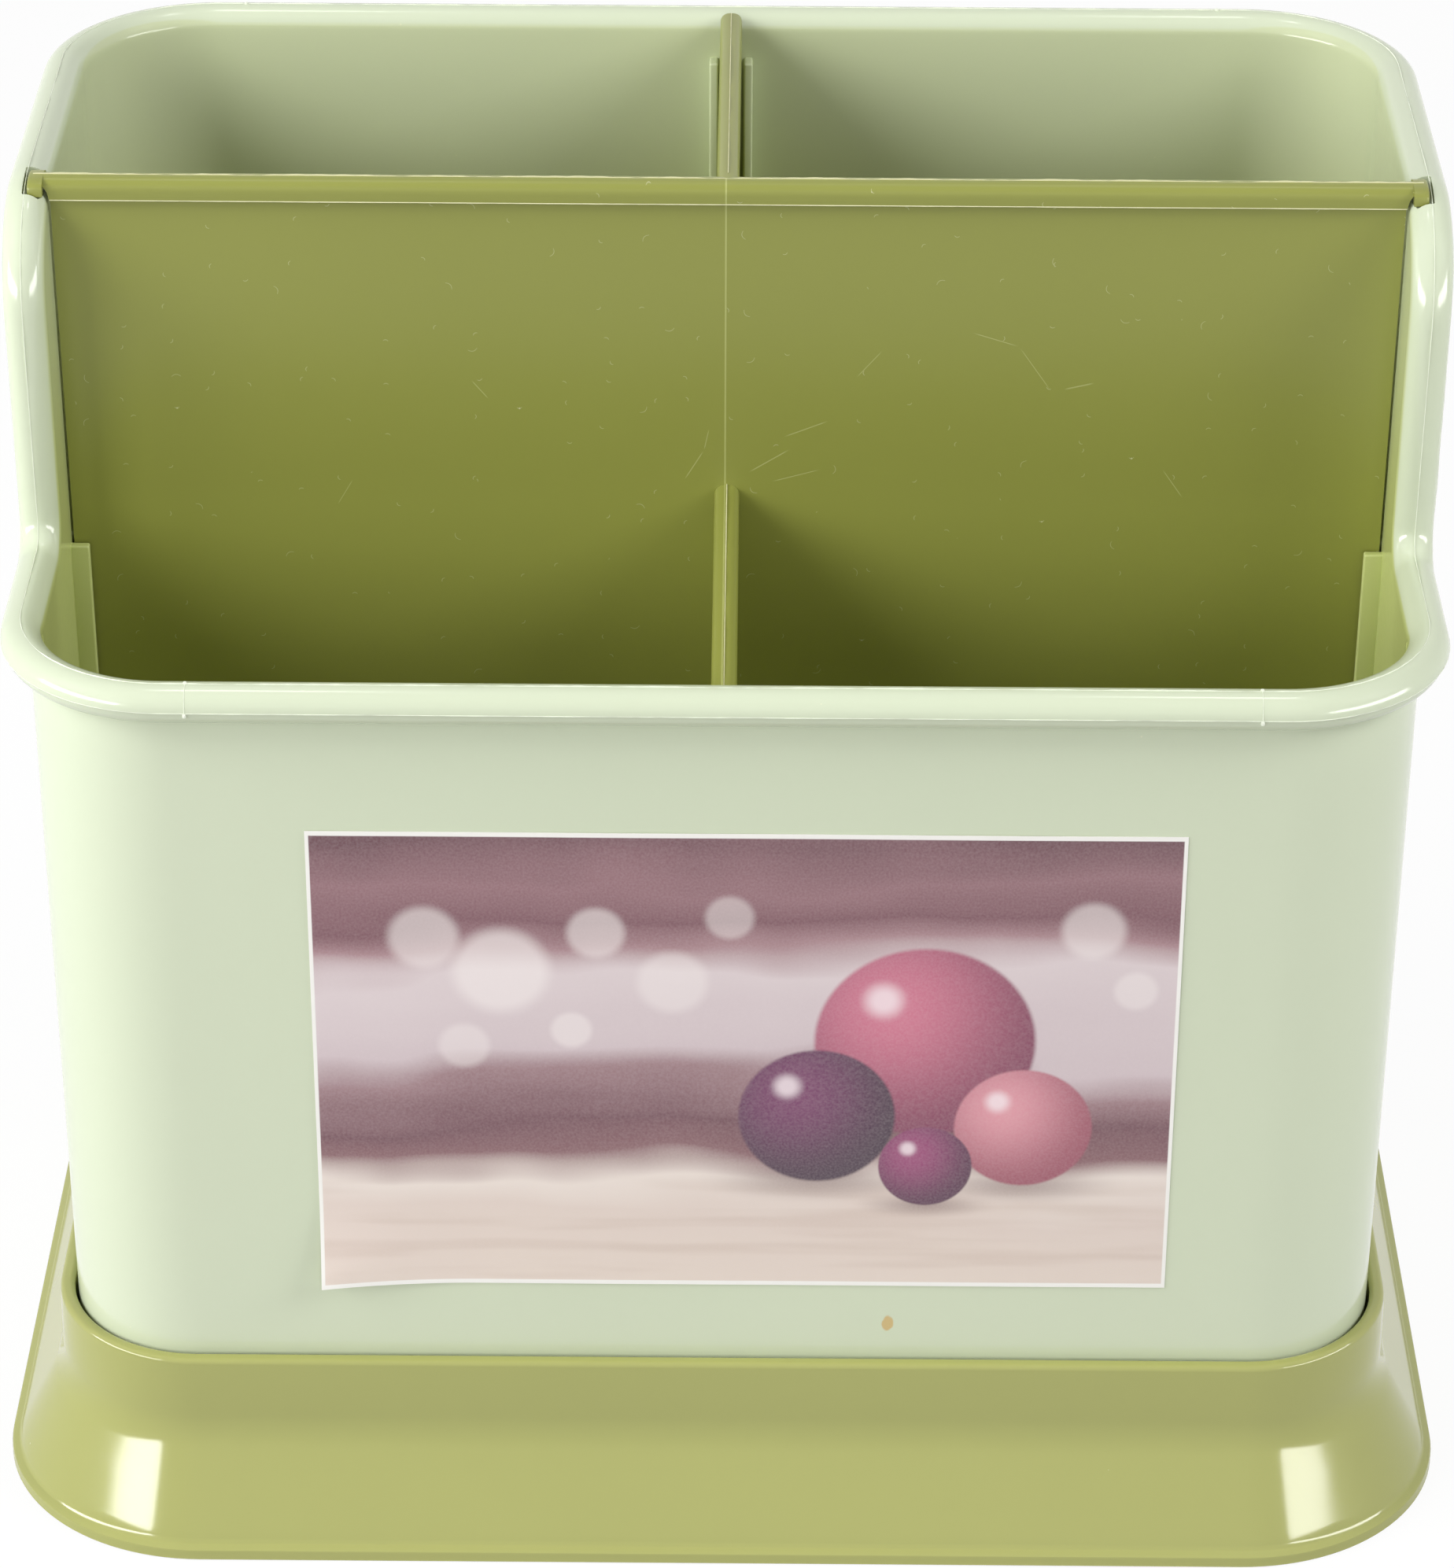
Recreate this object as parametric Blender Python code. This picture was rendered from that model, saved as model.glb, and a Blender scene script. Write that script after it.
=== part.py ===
"""Cutlery drainer: a drip tray, a bin with a raised back half, a lift-out cross divider and a paper label.

Metres, +Z up, +X to the right, +Y to the back. The origin is the middle of the tray's underside, and
heights are measured from the table that the tray stands on.
"""

import math

import bmesh
import bpy
import numpy as np

MM = 0.001

# Clearances between pieces
SEAT_GAP = 0.3 * MM  # under a piece that rests on another, and round a tab in its pocket
LIP_GAP = 1.0 * MM  # between the bin's wall and the tray's basin
DIVIDER_EDGE_GAP = 0.4 * MM  # between the divider's edges and the bin's inner walls
DIVIDER_FLOOR_GAP = 1.0 * MM  # the divider hangs by its tabs, just clear of the bin's floor
SIDE_RIB_GAP = 0.4 * MM  # between the main panel and the ribs of the side walls
END_RIB_GAP = 1.15 * MM  # between the cross walls and the ribs of the end walls

# Drip tray
TRAY_HEIGHT = 33.2 * MM
TRAY_WALL = 2.0 * MM
TRAY_FLOOR = 2.0 * MM
TRAY_FLARE = 9.9 * MM  # how far the foot of the skirt stands out past the lip
COLLAR_HEIGHT = 10.6 * MM
COLLAR_FLARE = 0.2 * MM
LIP_EDGE = 0.5 * MM
SWEEP_RADIUS = 14.0 * MM  # concave bend between the collar and the sloping skirt
HEM_HEIGHT = 3.2 * MM  # small step round the foot of the skirt
HEM_WIDTH = 1.7 * MM
HEM_BEVEL = 0.7 * MM
BASIN_BEVEL = 0.8 * MM
CAVITY_TOP_WIDTH = 1.0 * MM

# Bin
BIN_FOOT_WIDTH = 215.4 * MM
BIN_FOOT_DEPTH = 131.0 * MM
BIN_FOOT_CORNER = 21.8 * MM
BIN_WALL = 2.2 * MM
BIN_DRAFT = 0.007  # how far the walls lean out for each unit of height
BIN_BACK_HEIGHT = 213.5 * MM  # bottom edge to the crest of the rim
BIN_FRONT_HEIGHT = 156.5 * MM
BIN_FLOOR = 2.2 * MM
FOOT_SKIRT = 6.0 * MM  # bottom edge to the underside of the floor
RIM_RADIUS = 3.3 * MM
STEP_Y = -17.0 * MM  # where the rim of each side drops to the front height
STEP_CREST_SHARE = 0.263  # radius of the step's convex bend, as a share of the step's height
STEP_ROOT_SHARE = 0.065  # what the radius of its concave bend has over the rim's, as a share of the same

# Grip recesses, two low on each side wall
RECESS_DEPTH = 1.4 * MM
RECESS_TOP = 89.7 * MM  # above the bin's bottom edge
RECESS_CORNER = 4.0 * MM
RECESS_TOP_REACH = 33.0 * MM
RECESS_FOOT_REACH = 39.0 * MM
RIDGE_WIDTH = 16.0 * MM
PAD_MARGIN = 0.6 * MM

# Guide ribs
RIB_THICKNESS = 1.5 * MM
RIB_DEPTH = 3.0 * MM
RIB_ROOT = 0.5 * MM  # how deep a rib is rooted in the wall
SIDE_RIB_DROP = 6.8 * MM  # rib top below the crest of the front rim
BACK_RIB_DROP = 7.8 * MM  # rib top below the crest of the back rim
FRONT_RIB_DROP = 8.8 * MM  # rib top below the crest of the front rim

# Drain slots and notches
SLOT_WIDTH = 3.0 * MM
SLOT_LENGTH = 16.0 * MM
SLOT_PITCH = 14.0 * MM
SLOT_ROW_PITCH = 24.0 * MM
SLOT_MARGIN = 16.0 * MM  # from the middle, and from the inner wall, to the nearest slot
NOTCH_WIDTH = 16.0 * MM
NOTCH_HEIGHT = 3.0 * MM
NOTCH_X = 50.0 * MM

# Divider
DIVIDER_Y = -5.9 * MM
PANEL = 2.0 * MM
DIVIDER_PROUD = 0.6 * MM  # top of the divider above the crest of the back rim
BEAD_SIDE = 1.4 * MM  # straight flank of a bead, under its round top
MAIN_BEAD_WIDTH = 4.4 * MM
REAR_BEAD_WIDTH = 3.6 * MM
FRONT_BEAD_WIDTH = 4.0 * MM
FRONT_CROSS_RISE = 4.6 * MM  # top of the front cross wall over the front rim, at the main panel
FRONT_CROSS_FALL = 2.8 * MM  # and under the crest of the front rim, at the front wall
TAB_WIDTH = 6.6 * MM
TAB_HEIGHT = 3.8 * MM
TAB_REACH = 3.35 * MM  # past the inner wall, into the rim
TAB_OVERLAP = 0.8 * MM

# Label
LABEL_WIDTH = 137.0 * MM
LABEL_SHIFT = 3.6 * MM  # its middle, right of the bin's middle
LABEL_RISE = 44.9 * MM  # its lower edge above the bin's bottom edge
LABEL_DROP = 26.4 * MM  # its upper edge below the crest of the front rim
LABEL_THICKNESS = 0.25 * MM

# How finely round shapes are faceted
CORNER_STEPS = 7
BEND_STEPS = 5
RIM_STEP = math.radians(30)
ROUND_STEPS = 5
CUT_OVERRUN = 1.0 * MM  # how far a cutter runs past the face that it opens
SHARP_ANGLE = math.radians(35)

# Colours are linear, roughness from 0 to 1
PALE_GREEN = (0.66, 0.73, 0.55)
OLIVE = (0.29, 0.33, 0.10)
OLIVE_TRAY = (0.42, 0.43, 0.16)
PRINTED_PAPER = (0.55, 0.42, 0.40)

# Heights and outlines that follow from the sizes above
BIN_BOTTOM = TRAY_FLOOR + SEAT_GAP
FLOOR_UNDERSIDE = BIN_BOTTOM + FOOT_SKIRT
FLOOR_TOP = FLOOR_UNDERSIDE + BIN_FLOOR
BACK_CREST = BIN_BOTTOM + BIN_BACK_HEIGHT
FRONT_CREST = BIN_BOTTOM + BIN_FRONT_HEIGHT
STEP_CREST_RADIUS = STEP_CREST_SHARE * (BIN_BACK_HEIGHT - BIN_FRONT_HEIGHT)
STEP_ROOT_RADIUS = RIM_RADIUS + STEP_ROOT_SHARE * (BIN_BACK_HEIGHT - BIN_FRONT_HEIGHT)
DIVIDER_BOTTOM = FLOOR_TOP + DIVIDER_FLOOR_GAP
DIVIDER_TOP = BACK_CREST + DIVIDER_PROUD
TAB_BOTTOM = DIVIDER_TOP - TAB_HEIGHT
SPINE_X = BIN_FOOT_WIDTH / 2 - BIN_FOOT_CORNER
SPINE_Y = BIN_FOOT_DEPTH / 2 - BIN_FOOT_CORNER


def lean(z):
    """How far the bin's wall stands out at height z, past its bottom edge."""
    return BIN_DRAFT * (z - BIN_BOTTOM)


def on_wall(wall, along, z, depth):
    """A point at this depth inside the outer face of one of the bin's four flat walls."""
    x = BIN_FOOT_WIDTH / 2 + lean(z) - depth
    y = BIN_FOOT_DEPTH / 2 + lean(z) - depth
    return {
        "right": (x, along, z),
        "left": (-x, along, z),
        "back": (along, y, z),
        "front": (along, -y, z),
    }[wall]


# Meshes


def prism(near, far):
    """(points, faces) of the solid between two outlines with as many points each."""
    count = len(near)
    sides = [(i, (i + 1) % count, count + (i + 1) % count, count + i) for i in range(count)]
    caps = [tuple(range(count)), tuple(range(2 * count - 1, count - 1, -1))]
    return [*near, *far], sides + caps


def stack(loops):
    """(points, faces) of the solid whose skin runs from loop to loop, with its two end loops capped."""
    count = len(loops[0])
    sides = []
    for row in range(len(loops) - 1):
        first, second = row * count, (row + 1) * count
        for i in range(count):
            after = (i + 1) % count
            sides.append((first + i, first + after, second + after, second + i))
    last = (len(loops) - 1) * count
    caps = [tuple(range(count)), tuple(range(last, last + count))]
    return [point for loop in loops for point in loop], sides + caps


def rectangle(low_u, high_u, low_v, high_v):
    return [(low_u, low_v), (high_u, low_v), (high_u, high_v), (low_u, high_v)]


def wall_prism(wall, outline, shallow, deep):
    """A solid let into a wall of the bin: its outline is (along, z), and it spans these two depths."""
    outer = [on_wall(wall, along, z, shallow) for along, z in outline]
    inner = [on_wall(wall, along, z, deep) for along, z in outline]
    return prism(outer, inner)


def material(name, colour, roughness):
    made = bpy.data.materials.new(name)
    made.use_nodes = True
    shader = made.node_tree.nodes["Principled BSDF"]
    shader.inputs["Base Color"].default_value = (*colour, 1.0)
    shader.inputs["Roughness"].default_value = roughness
    shader.inputs["Metallic"].default_value = 0.0
    return made


def mesh_object(name, solids, origin):
    """One object from (points, faces) pairs in world coordinates, with its origin at the given point."""
    points, faces = [], []
    for solid_points, solid_faces in solids:
        start = len(points)
        points.extend(np.subtract(point, origin) for point in solid_points)
        faces.extend(tuple(start + index for index in face) for face in solid_faces)
    mesh = bpy.data.meshes.new(name)
    mesh.from_pydata(points, [], faces)
    shape = bmesh.new()
    shape.from_mesh(mesh)
    bmesh.ops.recalc_face_normals(shape, faces=shape.faces[:])
    shape.to_mesh(mesh)
    shape.free()
    made = bpy.data.objects.new(name, mesh)
    bpy.context.scene.collection.objects.link(made)
    made.location = origin
    return made


def piece(name, solids, origin, finish, carrier=None):
    """A sub-part with its finish, parented to the piece that carries it."""
    made = mesh_object(name, solids, origin)
    made.data.shade_smooth()
    made.data.set_sharp_from_angle(angle=SHARP_ANGLE)
    made.data.materials.append(finish)
    if carrier is not None:
        made.parent = carrier
        made.location = np.subtract(origin, carrier.matrix_world.translation)
    bpy.context.view_layer.update()
    return made


def combine(target, name, operation, solids):
    """Adds solids to a piece, or cuts them from it, with a hidden helper that moves with the piece."""
    helper = mesh_object(f"{target.name}_{name}", solids, target.matrix_world.translation)
    helper.parent = target
    helper.location = (0, 0, 0)
    helper.hide_render = True
    helper.display_type = "WIRE"
    boolean = target.modifiers.new(name, "BOOLEAN")
    boolean.operation = operation
    boolean.solver = "EXACT"
    boolean.object = helper


# The rounded rectangle that the tray and the bin share


def corner_columns():
    """(spine point, outward normal) of each column, in four quarter turns, counter-clockwise from above."""
    turns = np.linspace(0, math.pi / 2, CORNER_STEPS + 1)
    corners = ((1, 1), (-1, 1), (-1, -1), (1, -1))
    return [
        [((right * SPINE_X, back * SPINE_Y), (math.cos(turn), math.sin(turn))) for turn in turns + quarter]
        for (right, back), quarter in zip(corners, np.arange(4) * math.pi / 2)
    ]


def out_from(spine, normal, distance, z):
    """The point this far past the bin's foot outline, at height z."""
    reach = BIN_FOOT_CORNER + distance
    return (spine[0] + normal[0] * reach, spine[1] + normal[1] * reach, z)


# Drip tray


def sweep_of_skirt(collar, hem):
    """The concave bend's centre and the turn at which it runs straight on to the hem, as a tangent."""
    centre = (collar[0] + SWEEP_RADIUS, collar[1])
    across, down = hem[0] - centre[0], centre[1] - hem[1]
    distance = math.hypot(across, down)
    turn = math.atan2(down, -across) - math.acos(SWEEP_RADIUS / distance)
    return centre, turn


def tray_profile():
    """The tray's section as (distance past the bin's foot outline, z), from basin floor to underside."""
    basin_top = lean(TRAY_HEIGHT) + LIP_GAP
    basin_foot = lean(TRAY_FLOOR) + LIP_GAP
    lip = basin_top + TRAY_WALL
    edge = lip + TRAY_FLARE
    collar = (lip + COLLAR_FLARE, TRAY_HEIGHT - COLLAR_HEIGHT)
    hem = (edge - HEM_WIDTH, HEM_HEIGHT)
    centre, turn = sweep_of_skirt(collar, hem)
    basin = [
        (basin_foot - BASIN_BEVEL, TRAY_FLOOR),
        (basin_foot, TRAY_FLOOR + BASIN_BEVEL),
        (basin_top, TRAY_HEIGHT - LIP_EDGE),
        (basin_top + LIP_EDGE, TRAY_HEIGHT),
        (lip - LIP_EDGE, TRAY_HEIGHT),
        (lip, TRAY_HEIGHT - LIP_EDGE),
    ]
    sweep = [
        (centre[0] - SWEEP_RADIUS * math.cos(angle), centre[1] - SWEEP_RADIUS * math.sin(angle))
        for angle in np.linspace(0, turn, BEND_STEPS)
    ]
    step = HEM_WIDTH - HEM_BEVEL
    foot = [
        hem,
        (hem[0] + step, hem[1] - step),
        (edge, hem[1] - step - HEM_BEVEL),
        (edge, 0.0),
        (edge - TRAY_WALL, 0.0),
    ]
    inward = (-TRAY_WALL * math.cos(turn), -TRAY_WALL * math.sin(turn))
    under_hem = (hem[0] + inward[0], hem[1] + inward[1])
    under_bend = (sweep[-1][0] + inward[0], sweep[-1][1] + inward[1])
    basin_back = basin_foot + TRAY_WALL
    top_x = max(basin_back + CAVITY_TOP_WIDTH, under_bend[0])
    top_z = np.interp(top_x, (under_bend[0], under_hem[0]), (under_bend[1], under_hem[1]))
    underside = [under_hem, (top_x, top_z), (basin_back, top_z), (basin_back, 0.0)]
    return basin + sweep + foot + underside


def build_tray():
    columns = [column for quarter in corner_columns() for column in quarter]
    loops = [
        [out_from(spine, normal, distance, z) for spine, normal in columns]
        for distance, z in tray_profile()
    ]
    return piece("drip_tray", [stack(loops)], (0, 0, 0), material("tray_plastic", OLIVE_TRAY, 0.4))


# Bin


def junction_drop():
    """How far below the middle of the rim its round underside meets the wall's outer face."""
    return math.sqrt(RIM_RADIUS**2 - (RIM_RADIUS - BIN_WALL) ** 2)


def side_step():
    """The rim's middle line where it drops on a side wall, from back to front.

    Each entry is (y, z, normal y, normal z, foot y). The normal points out of the wall's edge, in the
    wall's plane. The foot is where the column that hangs from this point meets the bin's bottom edge.
    """
    back_z = BACK_CREST - RIM_RADIUS
    front_z = FRONT_CREST - RIM_RADIUS
    crest_centre = (STEP_Y + STEP_CREST_RADIUS, back_z - STEP_CREST_RADIUS)
    root_centre = (STEP_Y - STEP_ROOT_RADIUS, front_z + STEP_ROOT_RADIUS)
    outer_root = STEP_ROOT_RADIUS + junction_drop()
    feet = np.linspace(crest_centre[0], STEP_Y + junction_drop(), BEND_STEPS + 2)
    path = []
    for turn, foot in zip(np.linspace(0, math.pi / 2, BEND_STEPS + 1), feet):
        sine, cosine = math.sin(turn), math.cos(turn)
        y = crest_centre[0] - STEP_CREST_RADIUS * sine
        path.append((y, crest_centre[1] + STEP_CREST_RADIUS * cosine, -sine, cosine, foot))
    for turn in np.linspace(0, math.pi / 2, BEND_STEPS + 1):
        sine, cosine = math.sin(turn), math.cos(turn)
        y = root_centre[0] + STEP_ROOT_RADIUS * cosine
        foot = root_centre[0] + outer_root * cosine
        path.append((y, root_centre[1] - STEP_ROOT_RADIUS * sine, -cosine, sine, foot))
    return path


def side_columns(side):
    """Columns of one side wall as (spine, foot spine, outward normal, rim z, edge normal y, edge normal z)."""
    return [
        ((side * SPINE_X, y), (side * SPINE_X, foot), (side, 0), z, normal_y, normal_z)
        for y, z, normal_y, normal_z, foot in side_step()
    ]


def bin_columns():
    """Every column of the bin's wall, counter-clockwise from above, from the back right corner."""
    back_right, back_left, front_left, front_right = (
        [(spine, spine, normal, crest - RIM_RADIUS, 0, 1) for spine, normal in quarter]
        for quarter, crest in zip(corner_columns(), (BACK_CREST, BACK_CREST, FRONT_CREST, FRONT_CREST))
    )
    left, right = side_columns(-1), side_columns(1)
    return back_right + back_left + left + front_left + front_right + right[::-1]


def rim_angles():
    """Turns round the rim's section, from the inner wall over the crest to the outer wall."""
    last = -math.pi + math.acos(1 - BIN_WALL / RIM_RADIUS)
    return [*np.arange(math.pi, last + RIM_STEP / 2, -RIM_STEP), last]


def rim_point(column, angle):
    spine, _, normal, z, edge_y, edge_z = column
    middle = lean(z) - BIN_WALL + RIM_RADIUS
    x, y, _ = out_from(spine, normal, middle + RIM_RADIUS * math.cos(angle), z)
    along_edge = RIM_RADIUS * math.sin(angle)
    return (x, y + edge_y * along_edge, z + edge_z * along_edge)


def bin_shell():
    columns = bin_columns()

    def loop(z, distance):
        return [out_from(foot, normal, lean(z) + distance, z) for _, foot, normal, *_ in columns]

    loops = [loop(FLOOR_TOP, -BIN_WALL)]
    loops += [[rim_point(column, angle) for column in columns] for angle in rim_angles()]
    loops += [loop(BIN_BOTTOM, 0), loop(BIN_BOTTOM, -BIN_WALL), loop(FLOOR_UNDERSIDE, -BIN_WALL)]
    return stack(loops)


def recess_outline(back, margin, foot):
    """Outline (along, z) of a grip recess: an upright inner edge, an outer edge that spreads to the foot."""
    inner = RIDGE_WIDTH / 2 - margin
    top = BIN_BOTTOM + RECESS_TOP + margin
    top_outer = RECESS_TOP_REACH + margin
    foot_outer = RECESS_FOOT_REACH + margin
    corner = RECESS_CORNER + margin
    rounded = []
    for centre, start in ((inner + corner, math.pi), (top_outer - corner, math.pi / 2)):
        for turn in np.linspace(start, start - math.pi / 2, ROUND_STEPS):
            rounded.append((centre + corner * math.cos(turn), top - corner + corner * math.sin(turn)))
    outline = [(inner, foot), *rounded, (foot_outer, foot)]
    return [(back * along, z) for along, z in outline]


def grip_recesses(margin, shallow, deep, foot):
    return [
        wall_prism(wall, recess_outline(back, margin, foot), shallow, deep)
        for wall in ("left", "right")
        for back in (-1, 1)
    ]


def rib(wall, middle, top):
    outline = rectangle(
        middle - RIB_THICKNESS / 2, middle + RIB_THICKNESS / 2, FLOOR_TOP - BIN_FLOOR / 2, top
    )
    return wall_prism(wall, outline, BIN_WALL - RIB_ROOT, BIN_WALL + RIB_DEPTH)


def guide_ribs():
    """A pair of upright ribs on each wall, either side of the divider's edge."""
    side_offset = PANEL / 2 + SIDE_RIB_GAP + RIB_THICKNESS / 2
    end_offset = PANEL / 2 + END_RIB_GAP + RIB_THICKNESS / 2
    ribs = []
    for way in (-1, 1):
        ribs.append(rib("left", DIVIDER_Y + way * side_offset, FRONT_CREST - SIDE_RIB_DROP))
        ribs.append(rib("right", DIVIDER_Y + way * side_offset, FRONT_CREST - SIDE_RIB_DROP))
        ribs.append(rib("back", way * end_offset, BACK_CREST - BACK_RIB_DROP))
        ribs.append(rib("front", way * end_offset, FRONT_CREST - FRONT_RIB_DROP))
    return ribs


def slot(x, y):
    """A drain slot with round ends, through the floor."""
    radius = SLOT_WIDTH / 2
    outline = []
    for end, start in ((1, 0.0), (-1, math.pi)):
        for turn in np.linspace(start, start + math.pi, ROUND_STEPS):
            end_y = y + end * (SLOT_LENGTH / 2 - radius)
            outline.append((x + radius * math.cos(turn), end_y + radius * math.sin(turn)))
    low = [(*point, FLOOR_UNDERSIDE - CUT_OVERRUN) for point in outline]
    high = [(*point, FLOOR_TOP + CUT_OVERRUN) for point in outline]
    return prism(low, high)


def drain_slots():
    """Two rows of slots in the floor of each compartment."""
    inner_x = BIN_FOOT_WIDTH / 2 - BIN_WALL
    inner_y = BIN_FOOT_DEPTH / 2 - BIN_WALL
    slots = []
    for middle_y in ((DIVIDER_Y - inner_y) / 2, (DIVIDER_Y + inner_y) / 2):
        for y in (middle_y - SLOT_ROW_PITCH / 2, middle_y + SLOT_ROW_PITCH / 2):
            for x in np.arange(SLOT_MARGIN, inner_x - SLOT_MARGIN, SLOT_PITCH):
                slots += [slot(x, y), slot(-x, y)]
    return slots


def skirt_notches():
    """Low openings in the foot skirt, where the drip water runs out from under the floor."""
    return [
        wall_prism(
            wall,
            rectangle(
                x - NOTCH_WIDTH / 2, x + NOTCH_WIDTH / 2, BIN_BOTTOM - CUT_OVERRUN, BIN_BOTTOM + NOTCH_HEIGHT
            ),
            -CUT_OVERRUN,
            BIN_WALL + CUT_OVERRUN,
        )
        for wall in ("front", "back")
        for x in (-NOTCH_X, NOTCH_X)
    ]


def tab_pockets():
    """Pockets in the inner half of the rim, one on each side, where the divider's tabs rest."""
    half = TAB_WIDTH / 2 + SEAT_GAP
    outline = rectangle(
        DIVIDER_Y - half, DIVIDER_Y + half, TAB_BOTTOM - SEAT_GAP, BACK_CREST + CUT_OVERRUN
    )
    end = BIN_WALL - TAB_REACH - SEAT_GAP
    return [wall_prism(wall, outline, end, BIN_WALL + CUT_OVERRUN) for wall in ("left", "right")]


def build_bin(tray):
    made = piece("bin", [bin_shell()], (0, 0, BIN_BOTTOM), material("bin_plastic", PALE_GREEN, 0.25), tray)
    pad_shallow = BIN_WALL - RIB_ROOT
    pad_deep = BIN_WALL + RECESS_DEPTH
    pad_foot = BIN_BOTTOM + RIB_ROOT
    combine(made, "recess_pads", "UNION", grip_recesses(PAD_MARGIN, pad_shallow, pad_deep, pad_foot))
    recess_foot = BIN_BOTTOM - CUT_OVERRUN
    outside = -CUT_OVERRUN
    combine(made, "recesses", "DIFFERENCE", grip_recesses(0, outside, RECESS_DEPTH, recess_foot))
    combine(made, "guide_ribs", "UNION", guide_ribs())
    combine(made, "openings", "DIFFERENCE", drain_slots() + skirt_notches() + tab_pockets())
    return made


# Divider


def bead_outline(width):
    """Section of a bead as (across, up): a flat underside, short upright flanks and a round top."""
    radius = width / 2
    outline = [(-radius, 0.0), (radius, 0.0)]
    for turn in np.linspace(0, math.pi, ROUND_STEPS + 1):
        outline.append((radius * math.cos(turn), BEAD_SIDE + radius * math.sin(turn)))
    return outline


def bead_height(width):
    return BEAD_SIDE + width / 2


def inner_x(z):
    return on_wall("right", 0, z, BIN_WALL)[0]


def inner_y(z):
    return on_wall("back", 0, z, BIN_WALL)[1]


def main_panel():
    top = DIVIDER_TOP - bead_height(MAIN_BEAD_WIDTH) / 2
    reach_low = inner_x(DIVIDER_BOTTOM) - DIVIDER_EDGE_GAP
    reach_high = inner_x(top) - DIVIDER_EDGE_GAP
    outline = [
        (-reach_low, DIVIDER_BOTTOM),
        (reach_low, DIVIDER_BOTTOM),
        (reach_high, top),
        (-reach_high, top),
    ]
    faces = [[(x, DIVIDER_Y + side * PANEL / 2, z) for x, z in outline] for side in (-1, 1)]
    return prism(*faces)


def main_bead():
    base = DIVIDER_TOP - bead_height(MAIN_BEAD_WIDTH)
    reach = inner_x(DIVIDER_TOP) - DIVIDER_EDGE_GAP + TAB_OVERLAP
    ends = [
        [(side * reach, DIVIDER_Y + across, base + up) for across, up in bead_outline(MAIN_BEAD_WIDTH)]
        for side in (-1, 1)
    ]
    return prism(*ends)


def tab(side):
    """An end tab of the divider, in its pocket in the rim."""
    start = inner_x(TAB_BOTTOM) - DIVIDER_EDGE_GAP
    end = inner_x(TAB_BOTTOM) + TAB_REACH
    outline = rectangle(DIVIDER_Y - TAB_WIDTH / 2, DIVIDER_Y + TAB_WIDTH / 2, TAB_BOTTOM, DIVIDER_TOP)
    return prism(*[[(side * x, y, z) for y, z in outline] for x in (start, end)])


def cross_wall(way, near_top, far_top, bead_width):
    """A wall from the main panel to the back wall (way 1) or the front wall (way -1), with its bead.

    Its top runs straight from near_top, at the main panel, to far_top, at the bin's wall.
    """
    bead = bead_height(bead_width)
    low_end = way * (inner_y(DIVIDER_BOTTOM) - DIVIDER_EDGE_GAP)
    high_end = way * (inner_y(far_top) - DIVIDER_EDGE_GAP)
    outline = [
        (DIVIDER_Y, DIVIDER_BOTTOM),
        (low_end, DIVIDER_BOTTOM),
        (high_end, far_top - bead / 2),
        (DIVIDER_Y, near_top - bead / 2),
    ]
    wall = prism(*[[(side * PANEL / 2, y, z) for y, z in outline] for side in (-1, 1)])
    ends = [
        [(across, y, top - bead + up) for across, up in bead_outline(bead_width)]
        for y, top in ((DIVIDER_Y, near_top), (high_end, far_top))
    ]
    return wall, prism(*ends)


def build_divider(carrier):
    origin = (0, DIVIDER_Y, DIVIDER_BOTTOM)
    made = piece("divider", [main_panel()], origin, material("divider_plastic", OLIVE, 0.3), carrier)
    combine(made, "main_bead", "UNION", [main_bead()])
    combine(made, "tabs", "UNION", [tab(-1), tab(1)])
    rear_wall, rear_bead = cross_wall(1, DIVIDER_TOP, DIVIDER_TOP, REAR_BEAD_WIDTH)
    near_top, far_top = FRONT_CREST + FRONT_CROSS_RISE, FRONT_CREST - FRONT_CROSS_FALL
    front_wall, front_bead = cross_wall(-1, near_top, far_top, FRONT_BEAD_WIDTH)
    combine(made, "rear_wall", "UNION", [rear_wall])
    combine(made, "rear_bead", "UNION", [rear_bead])
    combine(made, "front_wall", "UNION", [front_wall])
    combine(made, "front_bead", "UNION", [front_bead])
    return made


# Label


def build_label(carrier):
    """The paper label, a thin sheet along the front wall."""
    low = BIN_BOTTOM + LABEL_RISE
    high = FRONT_CREST - LABEL_DROP
    outline = rectangle(LABEL_SHIFT - LABEL_WIDTH / 2, LABEL_SHIFT + LABEL_WIDTH / 2, low, high)
    sheet = wall_prism("front", outline, -SEAT_GAP - LABEL_THICKNESS, -SEAT_GAP)
    origin = on_wall("front", LABEL_SHIFT, low, -SEAT_GAP)
    return piece("label", [sheet], origin, material("label_paper", PRINTED_PAPER, 0.35), carrier)


def main():
    for leftover in list(bpy.data.objects):
        bpy.data.objects.remove(leftover)
    tray = build_tray()
    drainer = build_bin(tray)
    build_divider(drainer)
    build_label(drainer)


main()
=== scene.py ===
"""Looks of the cutlery drainer: bin, cross divider, drip tray and paper label, with their stage and camera.

Metres, +Z up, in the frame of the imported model. Each surface is a grid of points worked out with numpy.
"""

import math

import bmesh
import bpy
import numpy as np
from mathutils import Matrix, Vector


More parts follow.
